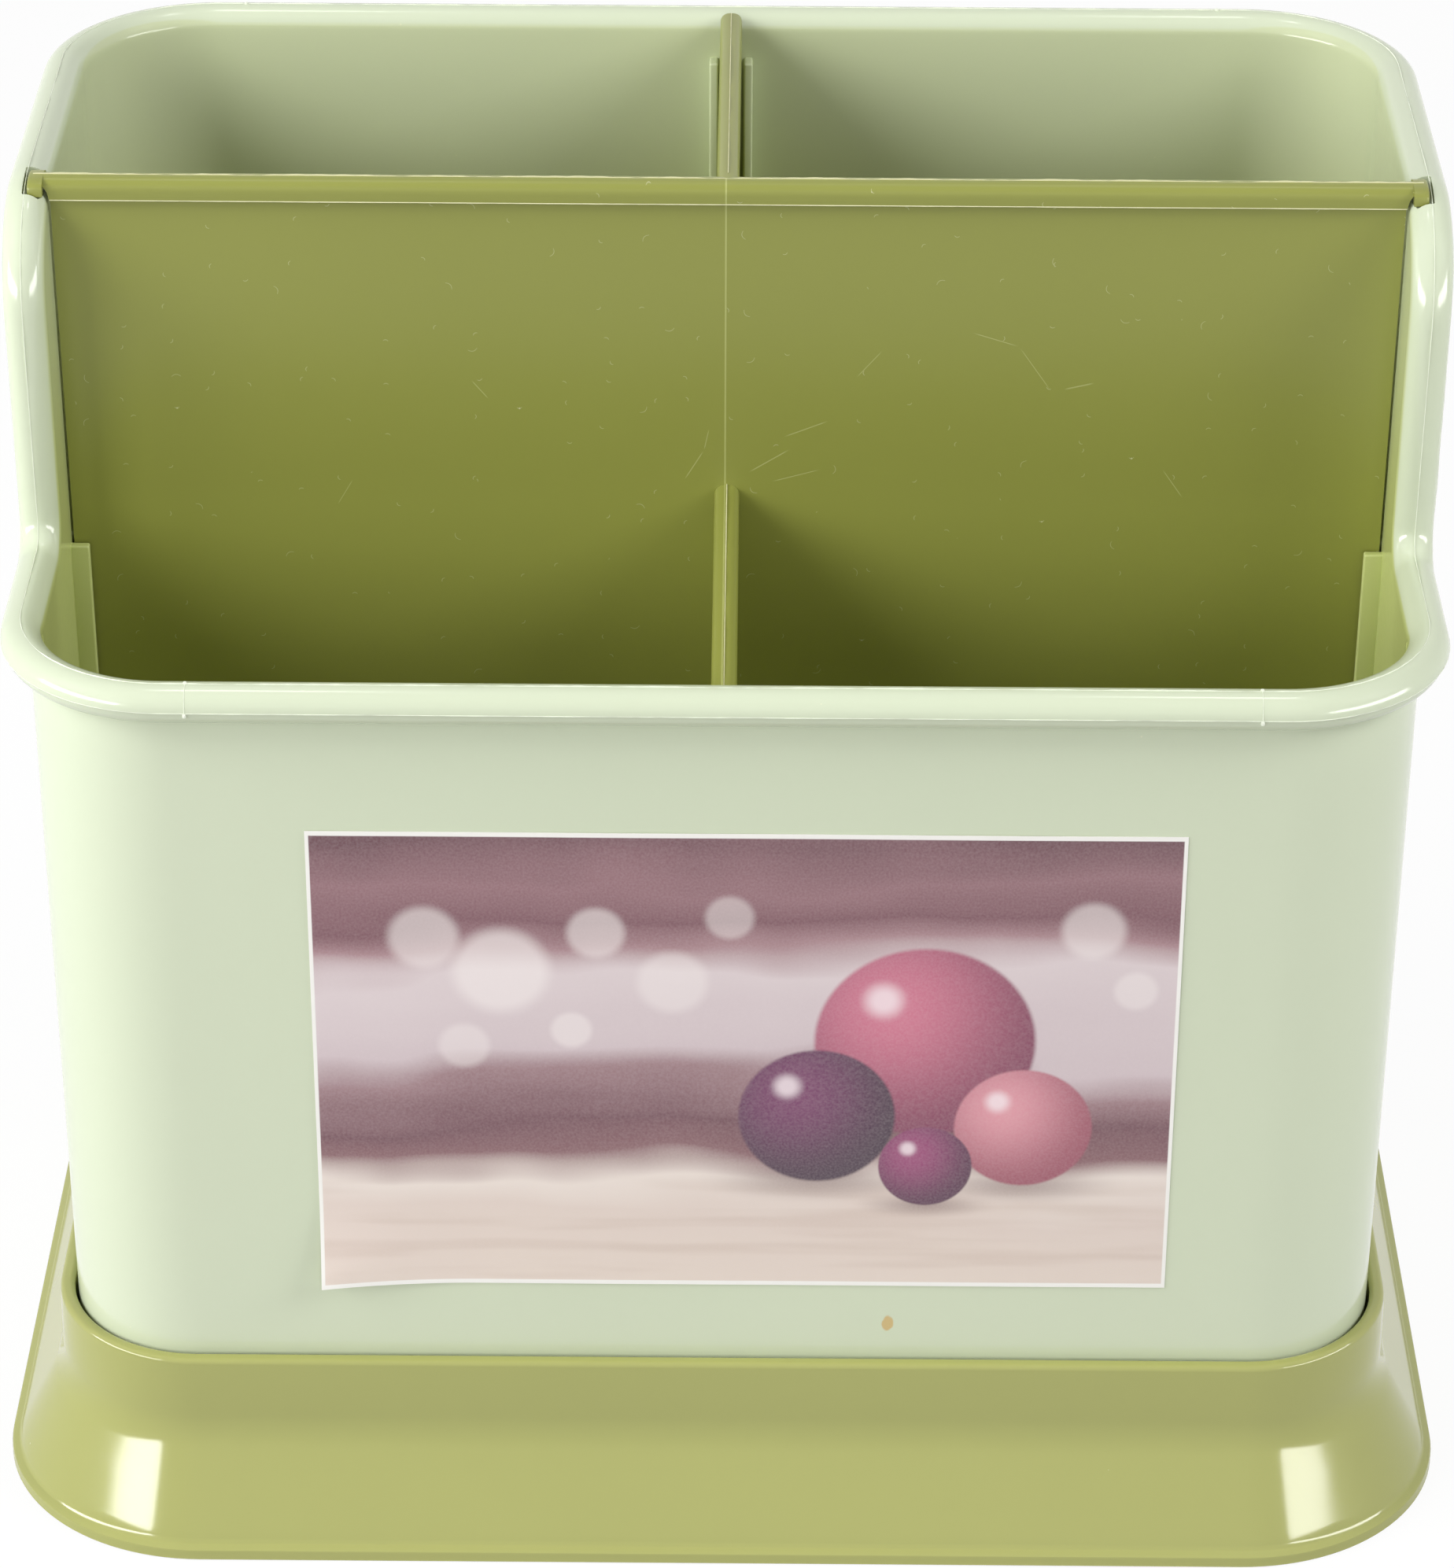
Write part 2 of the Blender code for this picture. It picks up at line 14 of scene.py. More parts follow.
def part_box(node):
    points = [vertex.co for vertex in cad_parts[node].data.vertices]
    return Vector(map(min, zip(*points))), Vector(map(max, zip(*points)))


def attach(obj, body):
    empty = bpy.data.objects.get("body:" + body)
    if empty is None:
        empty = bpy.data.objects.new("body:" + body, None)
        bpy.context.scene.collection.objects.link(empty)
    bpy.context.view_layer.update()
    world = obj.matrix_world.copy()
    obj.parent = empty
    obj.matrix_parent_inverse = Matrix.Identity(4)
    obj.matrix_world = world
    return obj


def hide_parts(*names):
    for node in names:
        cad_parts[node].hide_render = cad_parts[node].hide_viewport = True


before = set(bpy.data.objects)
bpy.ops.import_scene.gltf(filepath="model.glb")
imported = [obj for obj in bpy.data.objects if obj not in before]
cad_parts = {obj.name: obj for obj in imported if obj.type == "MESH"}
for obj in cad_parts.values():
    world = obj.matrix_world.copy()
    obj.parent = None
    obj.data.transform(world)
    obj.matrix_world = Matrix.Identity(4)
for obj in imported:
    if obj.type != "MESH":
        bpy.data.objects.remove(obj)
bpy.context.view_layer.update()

MM = 0.001

# Sizes that the bin, the tray and the divider share, read from the frame where it holds them
_, TRAY_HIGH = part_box("drip_tray")
BIN_LOW, BIN_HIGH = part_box("bin")
DIVIDER_LOW, DIVIDER_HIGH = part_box("divider")
LABEL_LOW, LABEL_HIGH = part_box("label")

WALL = 2.2 * MM
DRAFT = 0.007
FOOT_CORNER = 21.8 * MM
RIM_RADIUS = 3.3 * MM
RIM_OVERHANG = 2 * RIM_RADIUS - WALL
BIN_BOTTOM = BIN_LOW.z
BACK_CREST = BIN_HIGH.z
FRONT_CREST = BIN_BOTTOM + 156.5 * MM
FOOT_SKIRT = 6.0 * MM
BIN_FLOOR = 2.2 * MM
FLOOR_UNDERSIDE = BIN_BOTTOM + FOOT_SKIRT
FLOOR_TOP = FLOOR_UNDERSIDE + BIN_FLOOR


def lean(z):
    """How far the bin's wall stands out at height z, past its bottom edge."""
    return DRAFT * (z - BIN_BOTTOM)


RIM_REACH = RIM_OVERHANG + lean(BACK_CREST - RIM_RADIUS)
SPINE_X = BIN_HIGH.x - RIM_REACH - FOOT_CORNER
SPINE_Y = BIN_HIGH.y - RIM_REACH - FOOT_CORNER
HALF_WIDTH = SPINE_X + FOOT_CORNER
HALF_DEPTH = SPINE_Y + FOOT_CORNER

# The rim's step on each side wall
STEP_Y = -17.0 * MM
STEP_CREST_RADIUS = 0.263 * (BACK_CREST - FRONT_CREST)
STEP_ROOT_RADIUS = RIM_RADIUS + 0.065 * (BACK_CREST - FRONT_CREST)

# Parting lines of the rim, the thin flash that stands on them, and where the mould's slides met
CREST_LINE = math.radians(90)
OUTER_LINE = math.radians(-2)
PARTING_STEP = 0.25 * MM
RIM_FLASH = 0.2 * MM
FLASH_THICKNESS = 0.16 * MM
SLIDE_MARK_X = 82.0 * MM

# Grip recesses
RECESS_DEPTH = 1.4 * MM
RECESS_TOP = BIN_BOTTOM + 89.7 * MM
RECESS_CORNER = 4.0 * MM
RECESS_TOP_REACH = 33.0 * MM
RECESS_FOOT_REACH = 39.0 * MM
RIDGE_HALF = 8.0 * MM
RECESS_SLOPE = 0.9 * MM
PAD_MARGIN = 0.8 * MM

# Guide ribs
RIB_THICKNESS = 1.5 * MM
RIB_DEPTH = 3.0 * MM
RIB_ROOT = 0.8 * MM
RIB_EDGE = 0.35 * MM
SIDE_RIB_DROP = 6.8 * MM
BACK_RIB_DROP = 7.8 * MM
FRONT_RIB_DROP = 8.8 * MM
SIDE_RIB_OFFSET = 2.15 * MM
END_RIB_OFFSET = 2.9 * MM

# Floor
SLOT_WIDTH = 3.0 * MM
SLOT_LENGTH = 16.0 * MM
SLOT_PITCH = 14.0 * MM
SLOT_ROW_PITCH = 24.0 * MM
SLOT_MARGIN = 16.0 * MM
FLOOR_FILLET = 2.0 * MM
NOTCH_WIDTH = 16.0 * MM
NOTCH_HEIGHT = 3.0 * MM
NOTCH_X = 50.0 * MM

# Divider
DIVIDER_Y = -5.9 * MM
PANEL = 2.0 * MM
EDGE_GAP = 0.4 * MM
SEAT_GAP = 0.3 * MM
DIVIDER_BOTTOM = DIVIDER_LOW.z
DIVIDER_TOP = DIVIDER_HIGH.z
BEAD_SIDE = 1.4 * MM
MAIN_BEAD_WIDTH = 4.4 * MM
REAR_BEAD_WIDTH = 3.6 * MM
FRONT_BEAD_WIDTH = 4.0 * MM
FRONT_CROSS_RISE = 4.6 * MM
FRONT_CROSS_FALL = 2.8 * MM
BEAD_FLASH = 0.3 * MM
BEAD_SQUARENESS = 2.5
TAB_WIDTH = 6.6 * MM
TAB_HEIGHT = 3.0 * MM
TAB_SIDE = 0.8 * MM
TAB_START = 107.5 * MM
TAB_TRIM = 0.5 * MM
TAB_ROUNDING = 0.55
TAB_END = DIVIDER_HIGH.x
SEAM_X = -0.3 * MM

# Drip tray
TRAY_WALL = 2.0 * MM
TRAY_FLOOR = 2.0 * MM
LIP_GAP = 0.5 * MM
LIP_WALL = TRAY_WALL + 0.5 * MM
LIP_EDGE = 0.9 * MM
COLLAR_HEIGHT = 10.6 * MM
COLLAR_FLARE = 0.2 * MM
SWEEP_RADIUS = 14.0 * MM
HEM_HEIGHT = 3.2 * MM
HEM_WIDTH = 1.7 * MM
BASIN_FILLET = 1.0 * MM

# Label
LABEL_SHEET = 0.12 * MM
CURL_RISE = 2.4 * MM
CURL_REACH = 26.0 * MM


# Meshes


def smooth_step(value):
    """0 below 0, 1 above 1, and 3t^2 - 2t^3 between."""
    t = np.clip(value, 0, 1)
    return t * t * (3 - 2 * t)


def arc(start, end, steps):
    return np.linspace(math.radians(start), math.radians(end), steps + 1)


def grid_faces(rows, columns, ring, loop):
    """Quads of a grid. A ring joins its last column to its first, and a loop its last row to its first."""
    row = np.arange(rows if loop else rows - 1)[:, None]
    column = np.arange(columns if ring else columns - 1)[None, :]
    below, after = (row + 1) % rows, (column + 1) % columns
    corners = (
        row * columns + column,
        row * columns + after,
        below * columns + after,
        below * columns + column,
    )
    return np.stack(corners, axis=-1).reshape(-1, 4)


def mesh_from(name, sheets):
    """One mesh from (points, ring, loop) grids, with doubles merged and the faces of each shell outwards."""
    points, faces, start = [], [], 0
    for grid, ring, loop in sheets:
        rows, columns = grid.shape[:2]
        points.append(grid.reshape(-1, 3))
        faces.append(grid_faces(rows, columns, ring, loop) + start)
        start += rows * columns
    mesh = bpy.data.meshes.new(name)
    mesh.from_pydata(np.concatenate(points).tolist(), [], np.concatenate(faces).tolist())
    shape = bmesh.new()
    shape.from_mesh(mesh)
    bmesh.ops.remove_doubles(shape, verts=shape.verts[:], dist=0.002 * MM)
    bmesh.ops.recalc_face_normals(shape, faces=shape.faces[:])
    shape.to_mesh(mesh)
    shape.free()
    return mesh


def object_from(name, mesh):
    made = bpy.data.objects.new(name, mesh)
    bpy.context.scene.collection.objects.link(made)
    return made


def carved(name, sheets, cutters):
    """The mesh of the sheets with the cutters' shells cut from it."""
    body = object_from(name, mesh_from(name, sheets))
    tool = object_from(name + "_cutter", mesh_from(name + "_cutter", cutters))
    cut = body.modifiers.new("cut", "BOOLEAN")
    cut.operation = "DIFFERENCE"
    cut.object = tool
    graph = bpy.context.evaluated_depsgraph_get()
    result = bpy.data.meshes.new_from_object(body.evaluated_get(graph))
    bpy.data.objects.remove(body)
    bpy.data.objects.remove(tool)
    return result


def joined(name, meshes):
    """Several meshes as one."""
    shape = bmesh.new()
    for mesh in meshes:
        shape.from_mesh(mesh)
    result = bpy.data.meshes.new(name)
    shape.to_mesh(result)
    shape.free()
    return result


def piece(name, mesh, body, finish, node=None):
    """A finished piece that rides on a body, and may stand for a node of the frame."""
    mesh.shade_smooth()
    mesh.set_sharp_from_angle(angle=math.radians(38))
    mesh.materials.clear()
    mesh.materials.append(finish)
    made = object_from(name, mesh)
    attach(made, body)
    if node:
        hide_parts(node)
    return made


def at_height(flat, z):
    """Stacks (..., 2) points and heights into (..., 3) points."""
    return np.concatenate([flat, np.broadcast_to(z, flat.shape[:-1])[..., None]], axis=-1)


def rounded_block(half_u, half_v, low, high, edge, corner, steps=4):
    """A block with round edges, as rows of rounded rectangles from its foot to its top.

    A row inset by i from the side stands at the height where a quarter circle of radius edge is i in:
    i = edge (1 - cos t), height = edge sin t. The first and last rows shrink to the middle.
    """
    turns = arc(0, 90, steps)
    insets = edge * (1 - np.cos(turns))
    heights = edge * np.sin(turns)
    inset = np.concatenate([insets[::-1], insets])
    z = np.concatenate([low + edge - heights[::-1], high - edge + heights])
    quarter = arc(0, 90, steps)
    rows = []
    for row_inset in inset:
        radius = max(corner - row_inset, 0.02 * MM)
        du, dv = half_u - row_inset - radius, half_v - row_inset - radius
        centres = np.repeat([(du, dv), (-du, dv), (-du, -dv), (du, -dv)], len(quarter), axis=0)
        turn = np.concatenate([quarter + math.pi / 2 * k for k in range(4)])
        rows.append(centres + radius * np.stack([np.cos(turn), np.sin(turn)], axis=-1))
    rows = np.array(rows)
    rows = np.concatenate([rows[:1] * 0, rows, rows[-1:] * 0])
    z = np.concatenate([z[:1], z, z[-1:]])
    return at_height(rows, z[:, None])


# The bin's and the tray's shared outline


def rounded_outline(corner_steps, back_x=(), front_x=()):
    """(spine, normal) of each column, counter-clockwise from the right side's back end.

    A column at a corner turns about the corner's centre, and one at x on the back or front wall points
    straight out of it.
    """
    spines, normals = [], []
    corners = ((1, 1), (-1, 1), (-1, -1), (1, -1))
    straights = (-np.sort(-np.asarray(back_x, float)), (), np.sort(np.asarray(front_x, float)), ())
    for quarter, ((right, back), stations) in enumerate(zip(corners, straights)):
        turn = arc(0, 90, corner_steps) + quarter * math.pi / 2
        spines.append(np.tile((right * SPINE_X, back * SPINE_Y), (len(turn), 1)))
        normals.append(np.stack([np.cos(turn), np.sin(turn)], axis=-1))
        if len(stations):
            spines.append(np.stack([stations, np.full(len(stations), back * SPINE_Y)], axis=-1))
            normals.append(np.tile((0, back), (len(stations), 1)))
    return spines, normals


def swept(profile, spines, normals):
    """A grid with one row for each (distance past the bin's foot outline, z) of the profile."""
    reach = FOOT_CORNER + profile[:, 0]
    flat = spines[None] + normals[None] * reach[:, None, None]
    return at_height(flat, profile[:, 1:2])


# Bin


def recess_mask(along, z, margin):
    """1 inside a grip recess, 0 outside, with a smooth slope between.

    The recess is a trapezoid with round upper corners: the distance to it is the larger of the distances
    to its inner corner and to its outer corner, each a quarter circle where both of its sides are near.
    """
    run = np.clip((RECESS_TOP - z) / (RECESS_TOP - BIN_BOTTOM), 0, 1)
    outer = RECESS_TOP_REACH + (RECESS_FOOT_REACH - RECESS_TOP_REACH) * run + margin
    radius = RECESS_CORNER + margin
    past_top = z - RECESS_TOP - margin + radius
    distance = []
    for past_side in (RIDGE_HALF - margin - np.abs(along), np.abs(along) - outer):
        side = past_side + radius
        corner = np.hypot(np.maximum(side, 0), np.maximum(past_top, 0))
        distance.append(corner + np.minimum(np.maximum(side, past_top), 0) - radius)
    return smooth_step(0.5 - np.maximum(*distance) / RECESS_SLOPE)


def side_stations():
    """Columns of a side wall from back to front, as one array of rows.

    The rows are: y and z of the rim's middle line, y and z of the edge normal in the wall's plane, and y
    halfway down. Halfway down the columns crowd at the edges of the grip recesses.
    """
    back_z, front_z = BACK_CREST - RIM_RADIUS, FRONT_CREST - RIM_RADIUS
    crest_y, crest_z = STEP_Y + STEP_CREST_RADIUS, back_z - STEP_CREST_RADIUS
    root_y, root_z = STEP_Y - STEP_ROOT_RADIUS, front_z + STEP_ROOT_RADIUS
    crowd = np.array([-2.6, -1.7, -1.1, -0.7, -0.35, 0, 0.35, 0.7, 1.1, 1.7, 2.6]) * MM
    edge_back = RECESS_TOP_REACH + crowd
    ridge_back = RIDGE_HALF + crowd
    mid_back = -np.sort(-np.concatenate([edge_back, ridge_back, np.array([40, 27, 22, 17, 12.5]) * MM]))
    top_back = np.interp(mid_back, (mid_back[-1], SPINE_Y), (crest_y + 1 * MM, SPINE_Y))
    turn = arc(0, 90, 18)
    crest = (crest_y - STEP_CREST_RADIUS * np.sin(turn), crest_z + STEP_CREST_RADIUS * np.cos(turn))
    crest_mid = np.linspace(mid_back[-1] - 0.5 * MM, -2 * MM, len(turn))
    drop_z = np.linspace(crest_z, root_z, 6)[1:-1]
    drop_mid = np.linspace(-2.4 * MM, -4 * MM, len(drop_z))
    root_mid = -np.sort(np.concatenate([[4.6 * MM], ridge_back, [11.4 * MM]]))
    bend = arc(0, 90, len(root_mid) - 1)
    root = (root_y + STEP_ROOT_RADIUS * np.cos(bend), root_z - STEP_ROOT_RADIUS * np.sin(bend))
    mid_front = -np.sort(np.concatenate([edge_back, np.array([40, 27, 22, 17, 13.5]) * MM]))
    top_front = np.interp(mid_front, (-SPINE_Y, mid_front[0]), (-SPINE_Y, root_y - 1 * MM))
    y = np.concatenate([top_back, crest[0], np.full(len(drop_z), STEP_Y), root[0], top_front])
    z = np.concatenate(
        [np.full(len(top_back), back_z), crest[1], drop_z, root[1], np.full(len(top_front), front_z)]
    )
    edge_y = np.concatenate(
        [0 * top_back, -np.sin(turn), np.full(len(drop_z), -1.0), -np.cos(bend), 0 * top_front]
    )
    edge_z = np.concatenate([0 * top_back + 1, np.cos(turn), 0 * drop_z, np.sin(bend), 0 * top_front + 1])
    mid = np.concatenate([mid_back, crest_mid, drop_mid, root_mid, mid_front])
    return np.array([y, z, edge_y, edge_z, mid])


class BinColumns:
    """The bin's columns as arrays: where each one meets the rim, the middle of the wall and the foot."""

    def __init__(self):
        walls = np.arange(-78, 79, 12) * MM
        marks = np.array([-0.6, -0.32, -0.16, 0, 0.16, 0.32, 0.6]) * MM
        stations = np.concatenate([walls, SLIDE_MARK_X + marks, -SLIDE_MARK_X + marks])
        spines, normals = rounded_outline(24, stations, stations)
        sides = side_stations()
        left = np.stack([np.full(sides.shape[1], -SPINE_X), sides[0]], axis=-1)
        groups = [
            (spines[0], normals[0], BACK_CREST, None),
            (spines[1], normals[1], BACK_CREST, None),
            (spines[2], normals[2], BACK_CREST, None),
            (left, np.tile((-1.0, 0.0), (len(left), 1)), None, sides),
            (spines[3], normals[3], FRONT_CREST, None),
            (spines[4], normals[4], FRONT_CREST, None),
            (spines[5], normals[5], FRONT_CREST, None),
            (left[::-1] * (-1, 1), np.tile((1.0, 0.0), (len(left), 1)), None, sides[:, ::-1]),
        ]
        self.rim = np.concatenate([spine for spine, *_ in groups])
        self.normal = np.concatenate([normal for _, normal, *_ in groups])
        self.middle = self.rim.copy()
        self.foot = self.rim.copy()
        self.z = np.zeros(len(self.rim))
        self.edge = np.tile((0.0, 1.0), (len(self.rim), 1))
        start = 0
        for spine, _, crest, side in groups:
            span = slice(start, start + len(spine))
            start += len(spine)
            if side is None:
                self.z[span] = crest - RIM_RADIUS
                continue
            self.z[span] = side[1]
            self.edge[span] = side[2:4].T
            self.middle[span, 1] = side[4]
            reach = np.abs(side[4])
            knots = (0, RIDGE_HALF, RECESS_TOP_REACH, SPINE_Y)
            spread = np.interp(reach, knots, (0, RIDGE_HALF, RECESS_FOOT_REACH, SPINE_Y))
            self.foot[span, 1] = np.sign(side[4]) * spread


def rim_rows(columns):
    """The rim's round section, carried along the rim's middle line.

    At turn t the point is the middle line plus r (cos t outwards + sin t along the edge normal). Below
    the outer parting line r is a little smaller.
    """
    last = -math.pi + math.acos(1 - WALL / RIM_RADIUS)
    step = OUTER_LINE + np.radians([2, 0.4, -0.4, -1.2, -2])
    turns = np.concatenate([arc(180, 4, 20), step, arc(-16, -100, 9), [last]])[:, None]
    radius = RIM_RADIUS - PARTING_STEP * smooth_step((OUTER_LINE - turns) / math.radians(1.5))
    return rim_points(columns, turns, radius)


def rim_points(columns, turns, radius):
    middle = FOOT_CORNER + lean(columns.z) - WALL + RIM_RADIUS
    out = middle + radius * np.cos(turns)
    up = radius * np.sin(turns)
    flat = columns.rim + columns.normal * out[..., None]
    flat[..., 1] += up * columns.edge[:, 0]
    return at_height(flat, columns.z + up * columns.edge[:, 1])


def ragged(along):
    """From 0 to 1, uneven along a length in metres: slow and quick products of sines."""
    slow = np.sin(along / (11.3 * MM) + 0.7) * np.sin(along / (4.1 * MM))
    quick = np.sin(along / (1.7 * MM) + 2.1) * np.sin(along / (0.9 * MM))
    return np.clip(0.5 + 0.4 * slow + 0.3 * quick, 0, 1)


def flash_strip(foot, tip, height, thickness, closed=False):
    """A thin torn fin of plastic along a line.

    foot holds points of the line and tip points further out, past each of them. Between them the line is
    cut into short steps. A fin's section has four corners: its root under the line, and its edge at the
    height times the ragged share.
    """
    if closed:
        foot, tip = np.concatenate([foot, foot[:1]]), np.concatenate([tip, tip[:1]])
    steps = np.linalg.norm(np.diff(foot, axis=0), axis=1)
    length = np.concatenate([[0], np.cumsum(steps)])
    along = np.linspace(0, length[-1], int(length[-1] / (0.6 * MM)))
    line = np.stack([np.interp(along, length, foot[:, k]) for k in range(3)], -1)
    out = np.stack([np.interp(along, length, tip[:, k]) for k in range(3)], -1) - line
    out /= np.linalg.norm(out, axis=1)[:, None]
    across = np.cross(np.gradient(line, axis=0), out)
    across *= thickness / 2 / np.linalg.norm(across, axis=1)[:, None]
    rise = out * (height * ragged(along))[:, None]
    root = out * 0.1 * MM
    corners = np.array(
        [line - across - root, line - across * 0.4 + rise, line + across * 0.4 + rise, line + across - root]
    )
    if closed:
        return corners[:, :-1], True, True
    ends = corners[:, [0, -1]].mean(axis=0)
    blank = np.zeros_like(corners[:, :1])
    return np.concatenate([blank + ends[:1], corners, blank + ends[1:]], axis=1), False, True


def wall_rows(columns, drop, low_z, depth):
    """Rows down a face of the wall, from the rim to the foot.

    drop is how far below the rim's middle line the face starts. Above the recesses a row is a straight
    share of the way from the rim to the middle, and below them it stands at one height.
    """
    shares = np.array([0.01, 0.03, 0.07, 0.15, 0.3, 0.45, 0.6, 0.75, 0.9, 1.0])[:, None]
    start = columns.rim.copy()
    start[:, 1] -= drop * columns.edge[:, 0]
    start_z = columns.z - drop * columns.edge[:, 1]
    middle_z = RECESS_TOP + 2.5 * MM
    upper = start + (columns.middle - start) * shares[..., None]
    upper_z = start_z + (middle_z - start_z) * shares
    run = np.clip((RECESS_TOP - low_z) / (RECESS_TOP - BIN_BOTTOM), 0, 1)[:, None]
    lower = columns.middle + (columns.foot - columns.middle) * run[..., None]
    spine = np.concatenate([upper, lower])
    z = np.concatenate([upper_z, np.broadcast_to(low_z[:, None], lower.shape[:2])])
    reach = FOOT_CORNER + lean(z) - depth(spine[..., 1], z, columns)
    return at_height(spine + columns.normal * reach[..., None], z)


def recess_depth(along, z, columns, margin):
    """How far the face is pushed in by the recesses, which are on the two side walls only."""
    on_side = np.abs(columns.normal[:, 0]) == 1
    return RECESS_DEPTH * recess_mask(along, z, margin) * on_side


def lower_heights(foot):
    """Heights of the rows below the middle: crowded at the top of the recesses, then down to the foot."""
    near = RECESS_TOP + np.array([1.7, 1.1, 0.7, 0.35, 0, -0.35, -0.7, -1.1, -1.7, -2.6, -3.6, -4.8]) * MM
    return np.concatenate([near, np.linspace(RECESS_TOP - 7 * MM, foot, 14)])


def bin_shell():
    """The bin's wall, rim and foot skirt as one closed sheet, from the floor up inside and down outside."""
    columns = BinColumns()
    junction = math.sqrt(RIM_RADIUS**2 - (RIM_RADIUS - WALL) ** 2)

    def outer_depth(along, z, columns):
        edge = 0.5 * MM
        round_off = edge * (1 - np.sqrt(1 - np.clip(1 - (z - BIN_BOTTOM) / edge, 0, 1) ** 2))
        return recess_depth(along, z, columns, 0) + round_off

    def inner_depth(along, z, columns):
        fillet = 1 - np.clip((z - FLOOR_TOP) / FLOOR_FILLET, 0, 1)
        return WALL + recess_depth(along, z, columns, PAD_MARGIN) + FLOOR_FILLET * (
            1 - np.sqrt(np.maximum(1 - fillet**2, 0))
        )

    def skirt_depth(along, z, columns):
        return WALL + recess_depth(along, z, columns, PAD_MARGIN)

    fillet_rows = FLOOR_TOP + FLOOR_FILLET * (1 - np.sin(arc(15, 90, 5)))
    inner_z = np.concatenate([lower_heights(FLOOR_TOP + FLOOR_FILLET), fillet_rows])
    edge_rows = BIN_BOTTOM + np.array([0.5, 0.3, 0.15, 0.06, 0.015, 0]) * MM
    outer_z = np.concatenate([lower_heights(BIN_BOTTOM + 1.5 * MM), edge_rows])
    skirt_z = np.array([BIN_BOTTOM, FLOOR_UNDERSIDE, FLOOR_UNDERSIDE + 0.7 * BIN_FLOOR])
    inner = wall_rows(columns, 0, inner_z, inner_depth)
    outer = wall_rows(columns, junction, outer_z, outer_depth)
    skirt = wall_rows(columns, 0, skirt_z, skirt_depth)[-len(skirt_z):]
    return np.concatenate([inner[::-1], rim_rows(columns), outer, skirt])


def on_wall(wall, along, z, depth):
    """Points this deep inside the outer face of one of the bin's flat walls: side -1 or 1, way x or y."""
    axis, side = wall
    out = side * ((HALF_WIDTH if axis == "x" else HALF_DEPTH) + lean(z) - depth)
    flat = (out, along) if axis == "x" else (along, out)
    return np.stack([*flat, z], axis=-1)


def guide_rib(wall, middle, top):
    """A rib with round edges, rooted in the wall and in the floor."""
    depth = RIB_ROOT + RIB_DEPTH
    block = rounded_block(RIB_THICKNESS / 2, depth / 2, FLOOR_UNDERSIDE + 0.5 * MM, top, RIB_EDGE, RIB_EDGE)
    return on_wall(wall, middle + block[..., 0], block[..., 2], WALL - RIB_ROOT + depth / 2 + block[..., 1])


def guide_ribs():
    ribs = []
    for way in (-1, 1):
        for side in (-1, 1):
            y = DIVIDER_Y + way * SIDE_RIB_OFFSET
            ribs.append(guide_rib(("x", side), y, FRONT_CREST - SIDE_RIB_DROP))
        ribs.append(guide_rib(("y", 1), way * END_RIB_OFFSET, BACK_CREST - BACK_RIB_DROP))
        ribs.append(guide_rib(("y", -1), way * END_RIB_OFFSET, FRONT_CREST - FRONT_RIB_DROP))
    return [(rib, True, False) for rib in ribs]


def floor_plate():
    """The bin's floor, a flat plate that ends inside the wall."""
    spines, normals = (np.concatenate(part) for part in rounded_outline(12))
    out = -0.9 * WALL
    profile = np.array([(out, FLOOR_UNDERSIDE), (out, FLOOR_TOP - 0.01 * MM)])
    sides = swept(profile, spines, normals)
    under, over = sides[:1] * (0, 0, 1), sides[-1:] * (0, 0, 1)
    return np.concatenate([under, sides, over])


def slot_cutter(x, y):
    """A drain slot's prism with round ends."""
    radius = SLOT_WIDTH / 2
    turn = np.concatenate([arc(0, 180, 8), arc(180, 360, 8)])
    ends = np.repeat([1, -1], 9) * (SLOT_LENGTH / 2 - radius)
    flat = np.stack([x + radius * np.cos(turn), y + ends + radius * np.sin(turn)], axis=-1)
    middle = np.tile((x, y), (len(turn), 1))
    low, high = FLOOR_UNDERSIDE - 1 * MM, FLOOR_TOP + 1 * MM
    return at_height(np.array([middle, flat, flat, middle]), np.array([low, low, high, high])[:, None])


def drain_slots():
    """Two rows of slots in each compartment."""
    inner_x, inner_y = HALF_WIDTH - WALL, HALF_DEPTH - WALL
    cutters = []
    for middle_y in ((DIVIDER_Y - inner_y) / 2, (DIVIDER_Y + inner_y) / 2):
        for y in (middle_y - SLOT_ROW_PITCH / 2, middle_y + SLOT_ROW_PITCH / 2):
            for x in np.arange(SLOT_MARGIN, inner_x - SLOT_MARGIN, SLOT_PITCH):
                cutters += [slot_cutter(x, y), slot_cutter(-x, y)]
    return [(cutter, True, False) for cutter in cutters]


def moved(block, x, y):
    return block + np.array([x, y, 0])


def shell_cutters():
    """The pockets for the divider's tabs, in the inner half of the rim, and the notches of the skirt."""
    low = DIVIDER_TOP - TAB_HEIGHT - SEAT_GAP / 2
    end, start = TAB_END + SEAT_GAP, SPINE_X + FOOT_CORNER - WALL - 1 * MM
    half_x, half_y = (end - start) / 2, TAB_WIDTH / 2 + SEAT_GAP
    pocket = rounded_block(half_x, half_y, low, DIVIDER_TOP + 4 * MM, 0.15 * MM, 0.3 * MM)
    cutters = [moved(pocket, side * (start + half_x), DIVIDER_Y) for side in (-1, 1)]
    low, high = BIN_BOTTOM - 3 * MM, BIN_BOTTOM + NOTCH_HEIGHT
    notch = rounded_block(NOTCH_WIDTH / 2, 3 * MM, low, high, 0.8 * MM, 0.9 * MM)
    for way in (-1, 1):
        for x in (-NOTCH_X, NOTCH_X):
            cutters.append(moved(notch, x, way * (HALF_DEPTH - WALL / 2)))
    return [(cutter, True, False) for cutter in cutters]


